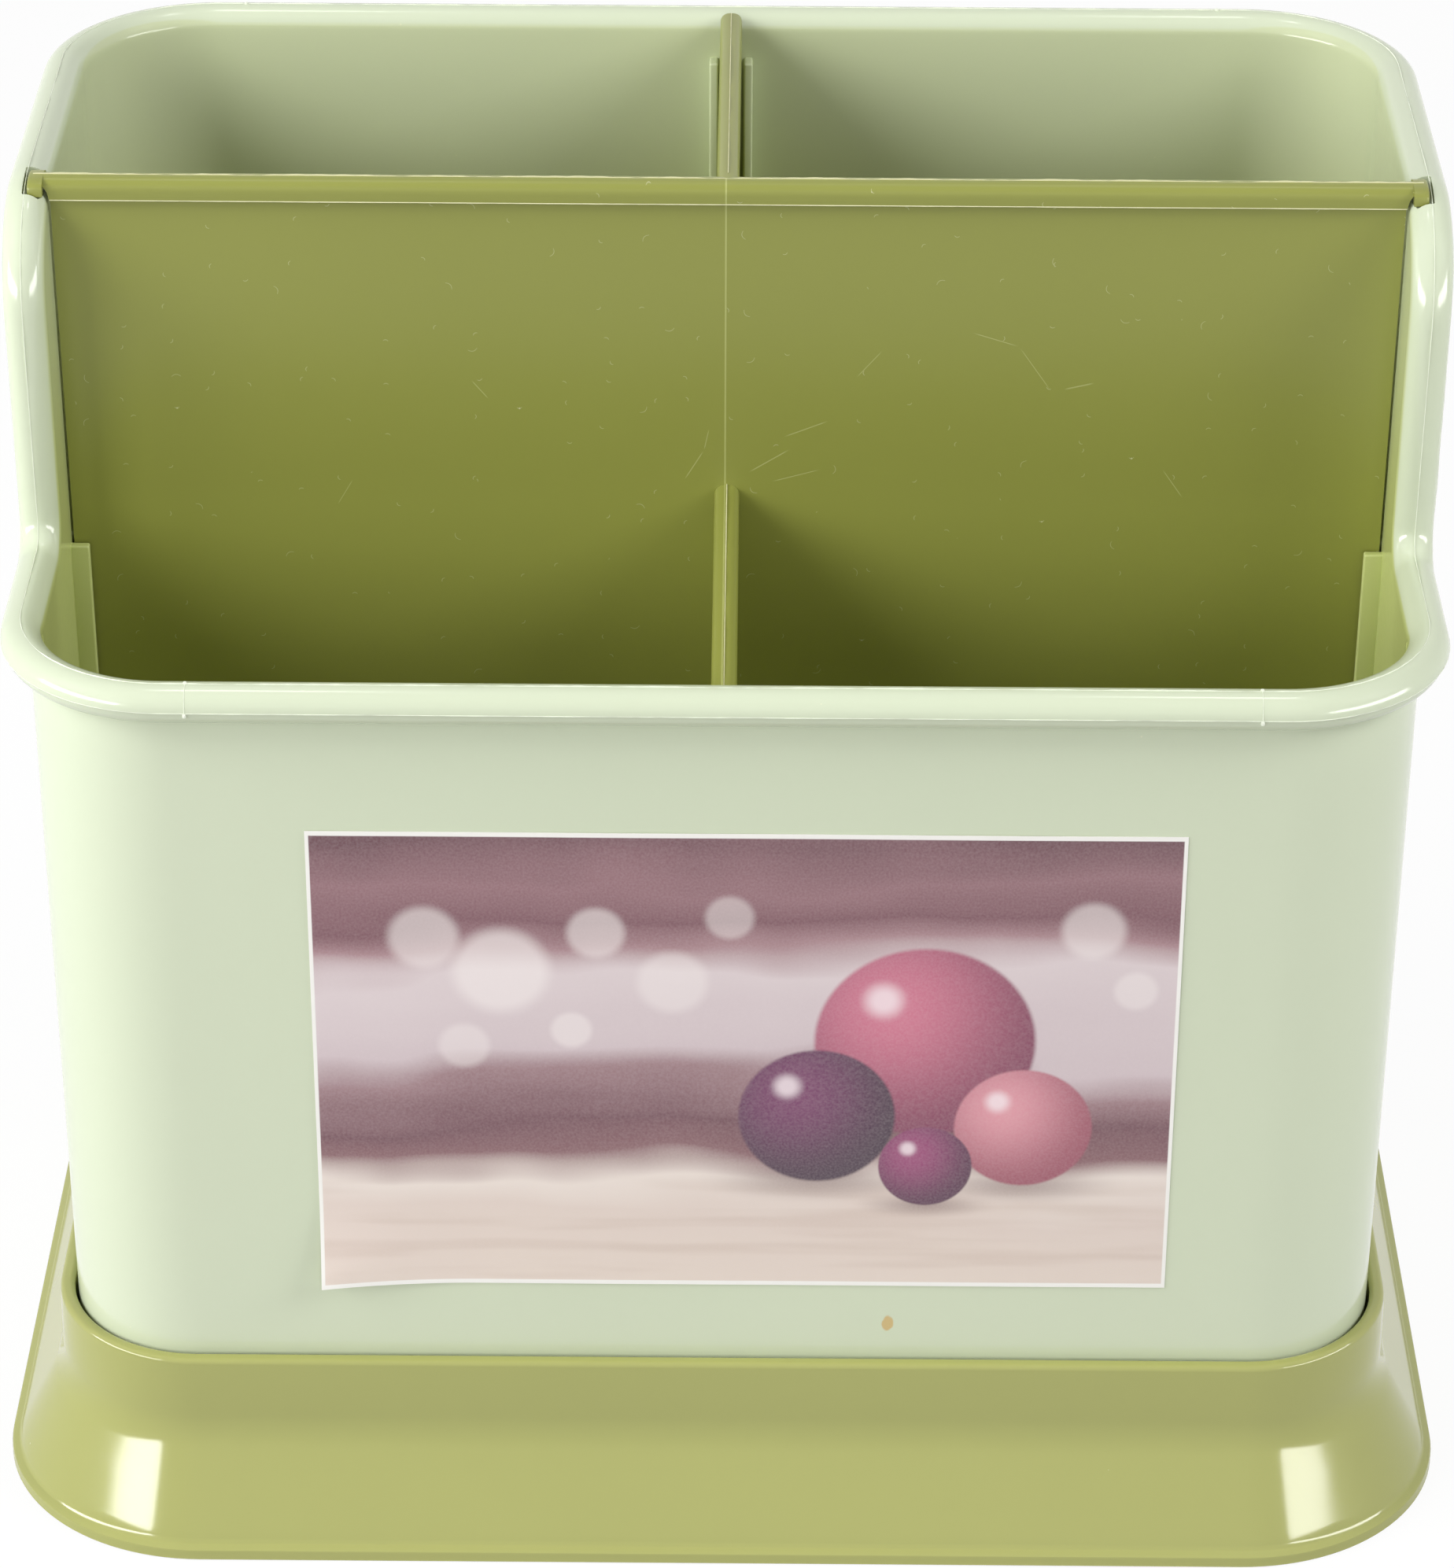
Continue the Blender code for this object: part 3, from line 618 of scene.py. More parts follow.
def make_bin(finish):
    shell = carved("bin_wall", [(bin_shell(), True, True)], shell_cutters())
    floor = carved("bin_floor", [(floor_plate(), True, False)], drain_slots())
    ribs = mesh_from("guide_ribs", guide_ribs())
    mesh = joined("bin_moulding", [shell, floor, ribs])
    return piece("bin_moulding", mesh, "drainer", finish, "bin")


def make_rim_flash(finish):
    """The thin flash on the rim's two parting lines, and over the rim where the slides met."""
    columns = BinColumns()
    sheets = []
    for line, height in ((CREST_LINE, RIM_FLASH), (OUTER_LINE, 0.6 * RIM_FLASH)):
        line = np.array([[line]])
        foot, tip = (rim_points(columns, line, RIM_RADIUS + past)[0] for past in (0, 1 * MM))
        sheets.append(flash_strip(foot, tip, height, FLASH_THICKNESS, closed=True))
    turn = arc(92, -9, 14)
    for way, crest in ((1, BACK_CREST), (-1, FRONT_CREST)):
        middle = crest - RIM_RADIUS
        reach = HALF_DEPTH + lean(middle) - WALL + RIM_RADIUS
        for x in (-SLIDE_MARK_X, SLIDE_MARK_X):
            across = np.full_like(turn, x)
            foot, tip = (
                np.stack([across, way * (reach + r * np.cos(turn)), middle + r * np.sin(turn)], -1)
                for r in (RIM_RADIUS, RIM_RADIUS + 1 * MM)
            )
            sheets.append(flash_strip(foot, tip, 0.5 * RIM_FLASH, FLASH_THICKNESS))
            for end in (0, -1):
                nub = rounded_block(0.3 * MM, 0.22 * MM, -0.35 * MM, 0.35 * MM, 0.15 * MM, 0.2 * MM, 2)
                sheets.append((nub + foot[end], True, False))
    return piece("rim_flash", mesh_from("rim_flash", sheets), "drainer", finish)


# Divider


def bead_section(width, side, top):
    """Half section of a wall of the divider with its bead, as (across, height below the top).

    From the wall's face out under the bead, up its flank and round to the middle of its crest. The round
    part is across = w cos(t)^(2/n), height = h sin(t)^(2/n), squarer than an ellipse.
    """
    turn = arc(0, 90, 12)
    power = 2 / BEAD_SQUARENESS
    across = width / 2 * np.clip(np.cos(turn), 0, 1) ** power
    height = side + top * np.sin(turn) ** power
    lip = 0.1 * MM
    under = [(PANEL / 2, 0.0), (width / 2 - lip, 0.0)]
    return np.array(under + list(zip(across, height))) - (0, side + top)


def divider_wall(width, length, low_z, top_z, place):
    """A wall of the divider with its bead, closed at both ends.

    place(share, across, z) gives the points. share runs from 0 to 1 along the wall. The section's height
    is measured down from the wall's top, which runs straight from top_z[0] to top_z[1].
    """
    half = bead_section(width, BEAD_SIDE, width / 2)
    foot = np.array([(0.0, np.nan), (PANEL / 2 - 0.3 * MM, np.nan), (PANEL / 2, np.nan)])
    half = np.concatenate([foot, half])
    section = np.concatenate([half * (-1, 1), half[-2::-1]])[:-1]
    share = np.linspace(0, 1, int(length / (3 * MM)))
    share = np.concatenate([share[:1], share, share[-1:]])[:, None]
    narrow = np.ones_like(share)
    narrow[[0, -1]] = 0
    across = section[None, :, 0] * narrow
    top = top_z[0] + (top_z[1] - top_z[0]) * share - BEAD_FLASH
    rounding = np.where(np.abs(section[:, 0]) < PANEL / 2 - 0.01 * MM, 0, 0.3 * MM)
    z = np.where(np.isnan(section[:, 1]), low_z + rounding, top + section[:, 1])
    return place(np.broadcast_to(share, z.shape), across, z)


def main_wall_end(z):
    """Where the main wall ends: past the inner wall's lean, and above the rim's middle past its roll.

    The roll is r - sqrt(r^2 - d^2), where d is the height over the rim's middle.
    """
    over = np.clip(z - (BACK_CREST - RIM_RADIUS), 0, 0.85 * RIM_RADIUS)
    roll = RIM_RADIUS - np.sqrt(RIM_RADIUS**2 - over**2)
    return HALF_WIDTH + lean(z) - WALL - EDGE_GAP + roll


def main_wall():
    def place(share, across, z):
        return np.stack([(2 * share - 1) * main_wall_end(z), DIVIDER_Y + across, z], axis=-1)

    return divider_wall(MAIN_BEAD_WIDTH, 2 * HALF_WIDTH, DIVIDER_BOTTOM, (DIVIDER_TOP, DIVIDER_TOP), place)


def cross_wall(way, width, tops):
    def place(share, across, z):
        end = way * (HALF_DEPTH + lean(z) - WALL - EDGE_GAP)
        return np.stack([across, DIVIDER_Y + (end - DIVIDER_Y) * share, z], axis=-1)

    return divider_wall(width, HALF_DEPTH, DIVIDER_BOTTOM, tops, place)


def end_tab(side):
    """A tab with an arched top: across the wall it is a squarish arch over short upright flanks."""
    turn = arc(0, 180, 24)
    half = TAB_WIDTH / 2
    low = DIVIDER_TOP - TAB_HEIGHT
    rise = TAB_HEIGHT - TAB_SIDE - BEAD_FLASH
    across = np.concatenate([[half - 0.2 * MM, half], half * np.cos(turn), [-half, 0.2 * MM - half]])
    flank = [low, low + 0.2 * MM]
    crown = low + TAB_SIDE + rise * np.clip(np.sin(turn), 0, 1) ** TAB_ROUNDING
    height = np.concatenate([flank, crown, flank[::-1]])
    edge = 0.35 * MM
    end = TAB_END - TAB_TRIM
    x = np.array([TAB_START, TAB_START, end - edge, end - 0.1 * MM, end, end])
    scale = np.array([0, 1, 1, 0.975, 0.93, 0])[:, None]
    z = low + (height - low) * np.where(scale == 0, 0.5, scale)
    y = DIVIDER_Y + across * scale
    return np.stack([np.broadcast_to(side * x[:, None], z.shape), y, z], axis=-1)


def make_divider(finish):
    front_tops = (FRONT_CREST + FRONT_CROSS_RISE, FRONT_CREST - FRONT_CROSS_FALL)
    sheets = [
        (main_wall(), True, False),
        (cross_wall(1, REAR_BEAD_WIDTH, (DIVIDER_TOP, DIVIDER_TOP)), True, False),
        (cross_wall(-1, FRONT_BEAD_WIDTH, front_tops), True, False),
        (end_tab(-1), True, False),
        (end_tab(1), True, False),
    ]
    mesh = mesh_from("divider_moulding", sheets)
    return piece("divider_moulding", mesh, "insert", finish, "divider")


def straight_flash(start, end, out, height):
    foot = np.array([start, end])
    return flash_strip(foot, foot + np.array(out) * MM, height, FLASH_THICKNESS)


def make_divider_flash_and_edge_highlight(finish):
    """The torn flash along the beads' crests, and thin pale fins on the main bead's lower edges that paint a
    highlight line there.
    """
    top, end = DIVIDER_TOP - BEAD_FLASH, TAB_END - 1.2 * MM
    inner = HALF_DEPTH + lean(top) - WALL - EDGE_GAP
    front_top = FRONT_CREST + FRONT_CROSS_RISE - BEAD_FLASH
    front_low = FRONT_CREST - FRONT_CROSS_FALL - BEAD_FLASH
    front_end = HALF_DEPTH + lean(front_low) - WALL - EDGE_GAP
    flank = top - MAIN_BEAD_WIDTH / 2 - BEAD_SIDE
    half = MAIN_BEAD_WIDTH / 2
    front_start = (0, DIVIDER_Y - PANEL / 2, front_top)
    sheets = [
        straight_flash((-end, DIVIDER_Y, top), (end, DIVIDER_Y, top), (0, 0, 1), BEAD_FLASH),
        straight_flash((0, DIVIDER_Y + half, top), (0, inner, top), (0, 0, 1), BEAD_FLASH),
        straight_flash(front_start, (0, -front_end, front_low), (0, -0.1, 1), 0.7 * BEAD_FLASH),
    ]
    # painted highlight: pale fins along the main bead's lower edges stand for the light line that edge catches
    for way in (-1, 1):
        y = DIVIDER_Y + way * (half - 0.05 * MM)
        x = main_wall_end(flank)
        sheets.append(straight_flash((-x, y, flank), (x, y, flank), (0, way, -1), 0.12 * BEAD_FLASH))
    return piece("divider_flash_and_edge_highlight", mesh_from("divider_flash_and_edge_highlight", sheets), "insert", finish)


# Drip tray


def tray_profile():
    """The tray's section as (distance past the bin's foot outline, z), a closed loop.

    From the basin's floor up its wall, over the round lip, down the collar, through a concave bend that
    runs on as a tangent to the hem, round the foot, and back up inside the skirt.
    """
    top = TRAY_HIGH.z
    edge = TRAY_HIGH.x - HALF_WIDTH
    basin_top, basin_foot = lean(top) + LIP_GAP, lean(TRAY_FLOOR) + LIP_GAP
    lip = basin_top + LIP_WALL
    fillet = arc(270, 360, 5)
    floor_out = basin_foot + BASIN_FILLET * (np.cos(fillet) - 1)
    floor = np.stack([floor_out, TRAY_FLOOR + BASIN_FILLET * (1 + np.sin(fillet))], -1)
    inner = arc(180, 90, 6)
    outer = arc(90, 0, 6)
    crown = np.concatenate(
        [
            np.stack([basin_top + LIP_EDGE * (1 + np.cos(inner)), top - LIP_EDGE * (1 - np.sin(inner))], -1),
            np.stack([lip - LIP_EDGE * (1 - np.cos(outer)), top - LIP_EDGE * (1 - np.sin(outer))], -1),
        ]
    )
    collar = (lip + COLLAR_FLARE, top - COLLAR_HEIGHT)
    hem = (edge - HEM_WIDTH, HEM_HEIGHT)
    centre = (collar[0] + SWEEP_RADIUS, collar[1])
    across, down = hem[0] - centre[0], centre[1] - hem[1]
    turn = math.atan2(down, -across) - math.acos(SWEEP_RADIUS / math.hypot(across, down))
    bend = np.linspace(0, turn, 14)
    sweep = np.stack([centre[0] - SWEEP_RADIUS * np.cos(bend), centre[1] - SWEEP_RADIUS * np.sin(bend)], -1)
    slope = sweep[-1] + (np.array(hem) - sweep[-1]) * np.array([0.3, 0.6, 0.9])[:, None]
    foot = np.array(
        [
            (hem[0], hem[1]),
            (hem[0] + 0.25 * MM, hem[1] - 0.75 * MM),
            (hem[0] + 0.55 * MM, hem[1] - 0.95 * MM),
            (edge - 0.5 * MM, hem[1] - 1.15 * MM),
            (edge - 0.12 * MM, hem[1] - 1.4 * MM),
            (edge, hem[1] - 1.8 * MM),
            (edge - 0.1 * MM, 0.35 * MM),
            (edge, 0.12 * MM),
            (edge - 0.08 * MM, 0.0),
            (edge - TRAY_WALL, 0.0),
        ]
    )
    inward = -TRAY_WALL * np.array([math.cos(turn), math.sin(turn)])
    under_hem, under_bend = np.array(hem) + inward, sweep[-1] + inward
    basin_back = basin_foot + TRAY_WALL
    top_x = max(basin_back + 1 * MM, under_bend[0])
    top_z = np.interp(top_x, (under_bend[0], under_hem[0]), (under_bend[1], under_hem[1]))
    inside = np.array([under_hem, (top_x, top_z), (basin_back, top_z), (basin_back, 0.0)])
    return np.concatenate([floor, crown, sweep, slope, foot, inside])


def make_tray(finish):
    walls = np.arange(-78, 79, 12) * MM
    spines, normals = (np.concatenate(part) for part in rounded_outline(28, walls, walls))
    skirt = swept(tray_profile(), spines, normals)
    floor_top, underside = skirt[:1] * (0, 0, 1), skirt[-1:] * (0, 0, 1)
    sheets = [(np.concatenate([floor_top, skirt, underside]), True, False)]
    mesh = mesh_from("tray_moulding", sheets)
    return piece("tray_moulding", mesh, "tray", finish, "drip_tray")


# Label


def make_label(finish):
    """A thin sheet along the front wall. One lower corner curls off the wall.

    The rise off the wall is r (1 - d / reach)^2, where d is the distance to that corner.
    """
    x = np.linspace(LABEL_LOW.x, LABEL_HIGH.x, 90)
    z = np.linspace(LABEL_LOW.z, LABEL_HIGH.z, 60)
    grid_x, grid_z = np.meshgrid(x, z)
    away = np.hypot(grid_x - LABEL_LOW.x, (grid_z - LABEL_LOW.z) * 1.3)
    rise = CURL_RISE * np.clip(1 - away / CURL_REACH, 0, 1) ** 2
    waves = 0.05 * MM * (1 + np.sin(grid_x / (9 * MM)) * np.sin(grid_z / (13 * MM)))
    back = -(HALF_DEPTH + lean(grid_z)) - 0.05 * MM - waves - rise
    front = np.stack([grid_x, back - LABEL_SHEET, grid_z], axis=-1)
    rear = np.stack([grid_x, back, grid_z], axis=-1)
    rim_front = np.concatenate([front[0, :-1], front[:-1, -1], front[-1, :0:-1], front[:0:-1, 0]])
    rim_rear = np.concatenate([rear[0, :-1], rear[:-1, -1], rear[-1, :0:-1], rear[:0:-1, 0]])
    sheets = [(front, False, False), (rear, False, False), (np.array([rim_front, rim_rear]), True, False)]
    return piece("paper_label", mesh_from("paper_label", sheets), "drainer", finish, "label")


# Materials


class Wire:
    """A socket of a material's node tree. Arithmetic on it adds Math nodes."""

    def __init__(self, tree, socket=None):
        self.tree = tree
        self.socket = socket

    def node(self, kind, settings, inputs, output=0):
        """Adds a node: first its settings, or its ramp's stops, then the values or links of its sockets."""
        made = self.tree.nodes.new(kind)
        for name, value in settings.items():
            if name == "stops":
                ramp = made.color_ramp.elements
                for position, colour in value[2:]:
                    ramp.new(position).color = colour
                for index, (position, colour) in ((0, value[0]), (-1, value[1])):
                    ramp[index].position = position
                    ramp[index].color = colour
            else:
                setattr(made, name, value)
        for name, value in inputs.items():
            if isinstance(value, Wire):
                self.tree.links.new(value.socket, made.inputs[name])
            else:
                made.inputs[name].default_value = value
        return Wire(self.tree, made.outputs[output]) if made.outputs else None

    def maths(self, operation, first, second=0.0, third=0.0):
        return self.node("ShaderNodeMath", {"operation": operation}, {0: first, 1: second, 2: third})

    def __add__(self, other):
        return self.maths("ADD", self, other)

    def __sub__(self, other):
        return self.maths("SUBTRACT", self, other)

    def __rsub__(self, other):
        return self.maths("SUBTRACT", other, self)

    def __mul__(self, other):
        return self.maths("MULTIPLY", self, other)

    def __truediv__(self, other):
        return self.maths("DIVIDE", self, other)

    __radd__ = __add__
    __rmul__ = __mul__

    def less(self, other):
        return self.maths("LESS_THAN", self, other)

    def greatest(self, other):
        return self.maths("MAXIMUM", self, other)

    def size(self):
        return self.maths("ABSOLUTE", self)

    def root(self):
        return self.maths("SQRT", self)

    def soft(self, low, high):
        """0 at low, 1 at high, smooth between."""
        kind = {"interpolation_type": "SMOOTHSTEP", "clamp": True}
        return self.node("ShaderNodeMapRange", kind, {"Value": self, "From Min": low, "From Max": high})

    def mixed(self, first, second):
        """A colour mixed by this value."""
        return self.node("ShaderNodeMix", {"data_type": "RGBA"}, {0: self, 6: first, 7: second}, 2)


def colour(red, green, blue):
    """A linear colour from its eight-bit values as a screen shows them."""
    screen = np.array([red, green, blue]) / 255
    linear = np.where(screen <= 0.04045, screen / 12.92, ((screen + 0.055) / 1.055) ** 2.4)
    return (*linear.tolist(), 1.0)


def new_material(name):
    """A material with its shader node, and a start for its wires."""
    made = bpy.data.materials.new(name)
    made.use_nodes = True
    tree = made.node_tree
    return made, tree.nodes["Principled BSDF"], Wire(tree)


def place(wire):
    """Object coordinates, and their x, y and z."""
    position = wire.node("ShaderNodeTexCoord", {}, {}, "Object")
    parts = [wire.node("ShaderNodeSeparateXYZ", {}, {0: position}, axis) for axis in "XYZ"]
    return position, parts


def mapped(position, location=(0, 0, 0), rotation=(0, 0, 0), scale=(1, 1, 1)):
    inputs = {"Vector": position, "Location": location, "Rotation": rotation, "Scale": scale}
    return position.node("ShaderNodeMapping", {}, inputs)


def noise(position, scale, detail=2.0, roughness=0.5):
    """Noise from 0 to 1, with its features about 1 / scale apart."""
    inputs = {"Vector": position, "Scale": scale, "Detail": detail, "Roughness": roughness}
    return position.node("ShaderNodeTexNoise", {}, inputs)


def specks(position, spacing, radius, share):
    """Small round dots: 1 in the middle of a chosen share of the cells of a grid with this spacing."""
    inputs = {"Vector": position, "Scale": 1 / spacing}
    distance = position.node("ShaderNodeTexVoronoi", {}, inputs, "Distance")
    pick = position.node("ShaderNodeTexVoronoi", {}, inputs, "Color")
    chosen = position.node("ShaderNodeSeparateColor", {}, {0: pick}, 0).less(share)
    return (1 - distance.soft(radius / spacing * 0.5, radius / spacing)) * chosen


def fibres(position, spacing, length, width, share):
    """Short bent hairs on upright faces that look to the front or back.

    Each cell of a pattern has one. In the cell's own x and z, turned by a chance angle, a hair is where
    v - u^2 / length is under its width and u is within half its length.
    """
    cells = mapped(position, scale=(1 / spacing,) * 3)
    pattern = {"Vector": cells, "Scale": 1.0}
    middle = position.node("ShaderNodeTexVoronoi", {}, pattern, "Position")
    pick = position.node("ShaderNodeTexVoronoi", {}, pattern, "Color")
    offset = position.node("ShaderNodeVectorMath", {"operation": "SUBTRACT"}, {0: cells, 1: middle})
    across = position.node("ShaderNodeSeparateXYZ", {}, {0: offset}, "X") * spacing
    up = position.node("ShaderNodeSeparateXYZ", {}, {0: offset}, "Z") * spacing
    turn = position.node("ShaderNodeSeparateColor", {}, {0: pick}, 1) * (2 * math.pi)
    chosen = position.node("ShaderNodeSeparateColor", {}, {0: pick}, 0).less(share)
    cosine, sine = turn.maths("COSINE", turn), turn.maths("SINE", turn)
    u = across * cosine + up * sine
    v = up * cosine - across * sine - u * u * (1 / length)
    return (1 - v.size().soft(width * 0.4, width)) * u.size().less(length / 2) * chosen


def stroke(x, z, start, end, width):
    """1 on the straight line between two points of the x-z plane, given in millimetres, and fading out."""
    (x0, z0), (x1, z1) = start, end
    along = math.hypot(x1 - x0, z1 - z0) * MM
    du, dv = (x1 - x0) * MM / along, (z1 - z0) * MM / along
    dx, dz = x - x0 * MM, z - z0 * MM
    u = dx * du + dz * dv
    off = (dx * dv - dz * du).size()
    half = along / 2
    return (1 - off.soft(width * 0.3, width)) * (1 - (u - half).size().soft(half * 0.6, half))


def moulded_plastic(name, tint, shine):
    """Moulded polypropylene: faint flow mottling, soft waviness, fine grain and dust specks."""
    made, shader, wire = new_material(name)
    position, axes = place(wire)
    flow = noise(mapped(position, scale=(1, 1, 0.4)), 28, 4)
    cloud = noise(position, 9, 2)
    base = (flow - 0.5) * 0.12 + (cloud - 0.5) * 0.16 + 0.5
    darker, lighter = ([min(part * factor, 1.0) for part in tint[:3]] + [1.0] for factor in (0.88, 1.12))
    shade = base.mixed(darker, lighter)
    shade = (specks(position, 7 * MM, 0.2 * MM, 0.4) * 0.4).mixed(shade, colour(238, 236, 206))
    shade = (specks(position, 31 * MM, 0.32 * MM, 0.4) * 0.7).mixed(shade, colour(84, 72, 40))
    rough = noise(position, 70, 3) * 0.06 + noise(position, 600, 1) * 0.04 + (shine - 0.05)
    ripple = noise(position, 22, 1) * 0.35 * MM + noise(position, 900, 2) * 0.003 * MM
    wire.tree.links.new(rough.socket, shader.inputs["Roughness"])
    return made, shader, wire, position, axes, shade, ripple


def connect(wire, shader, shade, height, strength):
    inputs = {"Height": height, "Distance": 1.0, "Strength": strength}
    bump = wire.node("ShaderNodeBump", {}, inputs, "Normal")
    wire.tree.links.new(shade.socket, shader.inputs["Base Color"])
    wire.tree.links.new(bump.socket, shader.inputs["Normal"])


def bin_finish():
    """Pale green, with one amber fleck low on the front wall, and a painted shade on the inner faces: darker and
    more saturated, for the coloured light bounced inside the bin, more of it further down.

    Inside is where the distance from the plan's middle rectangle is less than the outline's corner radius
    by more than the wall.
    """
    tint = colour(207, 216, 189)
    made, shader, wire, position, (x, y, z), shade, height = moulded_plastic("bin_plastic", tint, 0.14)
    across, up = (x - 27.2 * MM) / (1.0 * MM), (z - 39.5 * MM) / (1.7 * MM)
    away = across * across + up * up + (noise(position, 700) - 0.5) * 1.2
    fleck = (1 - away.soft(0.5, 1.1)) * y.less(-60 * MM)
    past_x = (x.size() - z * DRAFT - (SPINE_X - DRAFT * BIN_BOTTOM)).greatest(0)
    past_y = (y.size() - z * DRAFT - (SPINE_Y - DRAFT * BIN_BOTTOM)).greatest(0)
    outline = (past_x * past_x + past_y * past_y).root()
    inside = outline.soft(FOOT_CORNER - 0.86 * WALL, FOOT_CORNER - 0.98 * WALL)
    # painted shade: the inner faces darker and more saturated for light bounced inside the bin, a third of it at
    # the top and all of it further down
    painted_inner_shade = inside * (0.35 + z.soft(205 * MM, 150 * MM) * 0.65)
    shade = painted_inner_shade.mixed(shade, colour(195, 203, 133))
    shade = (fleck * 0.8).mixed(shade, colour(205, 170, 98))
    connect(wire, shader, shade, height, 0.10)
    return made


SCRATCHES = (
    ((38.9, 190.3), (46.5, 187.9), 0.10),
    ((46.5, 187.9), (51.9, 180.0), 0.08),
    ((53.8, 180.4), (58.8, 181.6), 0.16),
    ((3.4, 165.2), (10.2, 169.5), 0.13),
    ((9.0, 171.6), (16.4, 174.6), 0.12),
    ((7.1, 163.6), (15.2, 165.9), 0.10),
    ((-6.9, 163.8), (-3.7, 169.2), 0.11),
    ((-3.7, 169.2), (-2.9, 173.0), 0.09),
    ((20.6, 182.2), (24.8, 187.1), 0.09),
    ((-41.0, 181.4), (-38.2, 178.0), 0.10),
    ((-63.1, 158.9), (-60.4, 163.6), 0.08),
    ((70.2, 166.4), (73.8, 161.1), 0.10),
)


def divider_finish():
    """Olive green with hairs of dust and light scratches, and the mould's upright seam in the middle."""
    tint = colour(141, 145, 69)
    made, shader, wire, position, (x, y, z), shade, height = moulded_plastic("divider_plastic", tint, 0.3)
    front = y.less(DIVIDER_Y)
    seam = (1 - (x - SEAM_X).size().soft(0.06 * MM, 0.2 * MM)) * front
    hairs = fibres(position, 7 * MM, 0.8 * MM, 0.08 * MM, 0.4).greatest(
        fibres(position, 15 * MM, 1.5 * MM, 0.07 * MM, 0.45)
    )
    marks = stroke(x, z, *SCRATCHES[0][:2], SCRATCHES[0][2] * MM)
    for start, end, width in SCRATCHES[1:]:
        marks = marks.greatest(stroke(x, z, start, end, width * MM))
    marks = marks * front
    shade = (hairs * 0.35).mixed(shade, colour(226, 224, 190))
    shade = (marks * 0.4).mixed(shade, colour(206, 208, 150))
    shade = (seam * 0.5).mixed(shade, colour(196, 200, 132))
    connect(wire, shader, shade, height + seam * 0.06 * MM - marks * 0.01 * MM, 0.2)
    return made


def flash_and_highlight_finish(name, tint):
    """Thin torn plastic: paler than the wall it stands on, and dull. On the main bead's lower edges the divider's
    pale finish paints a highlight line.
    """
    made, shader, wire = new_material(name)
    position, _ = place(wire)
    shade = noise(position, 900, 2).mixed([part * 0.85 for part in tint[:3]] + [1.0], tint)
    wire.tree.links.new(shade.socket, shader.inputs["Base Color"])
    shader.inputs["Roughness"].default_value = 0.45
    return made


def tray_finish():
    made, shader, wire, _, _, shade, height = moulded_plastic("tray_plastic", colour(162, 164, 95), 0.12)
    shader.inputs["IOR"].default_value = 1.54
    connect(wire, shader, shade, height, 0.08)
    return made


def disc(across, up, x, z, radius, softness):
    """A soft-edged disc of a print, placed in millimetres from its lower left corner: 1 inside."""
    du, dv = across - x * MM, up - z * MM
    away = (du * du + dv * dv).root()
    return 1 - away.soft(radius * MM * (1 - softness), radius * MM * (1 + softness))


BALLS = (
    (97, 47, 17.5, colour(205, 112, 138), colour(120, 44, 78)),
    (80, 33, 12.5, colour(112, 38, 92), colour(44, 10, 44)),
    (113, 31, 11.0, colour(222, 150, 162), colour(150, 72, 92)),
    (97.5, 23.5, 7.5, colour(150, 58, 112), colour(70, 16, 58)),
)
GLOWS = (
    (18, 66, 5.5, 0.5),
    (30, 60, 7.5, 0.6),
    (45, 67, 4.5, 0.5),
    (24, 46, 4.0, 0.4),
    (57, 58, 5.5, 0.45),
    (41, 49, 3.2, 0.5),
    (66, 70, 3.8, 0.4),
    (123, 68, 5.0, 0.5),
    (130, 57, 3.4, 0.45),
)


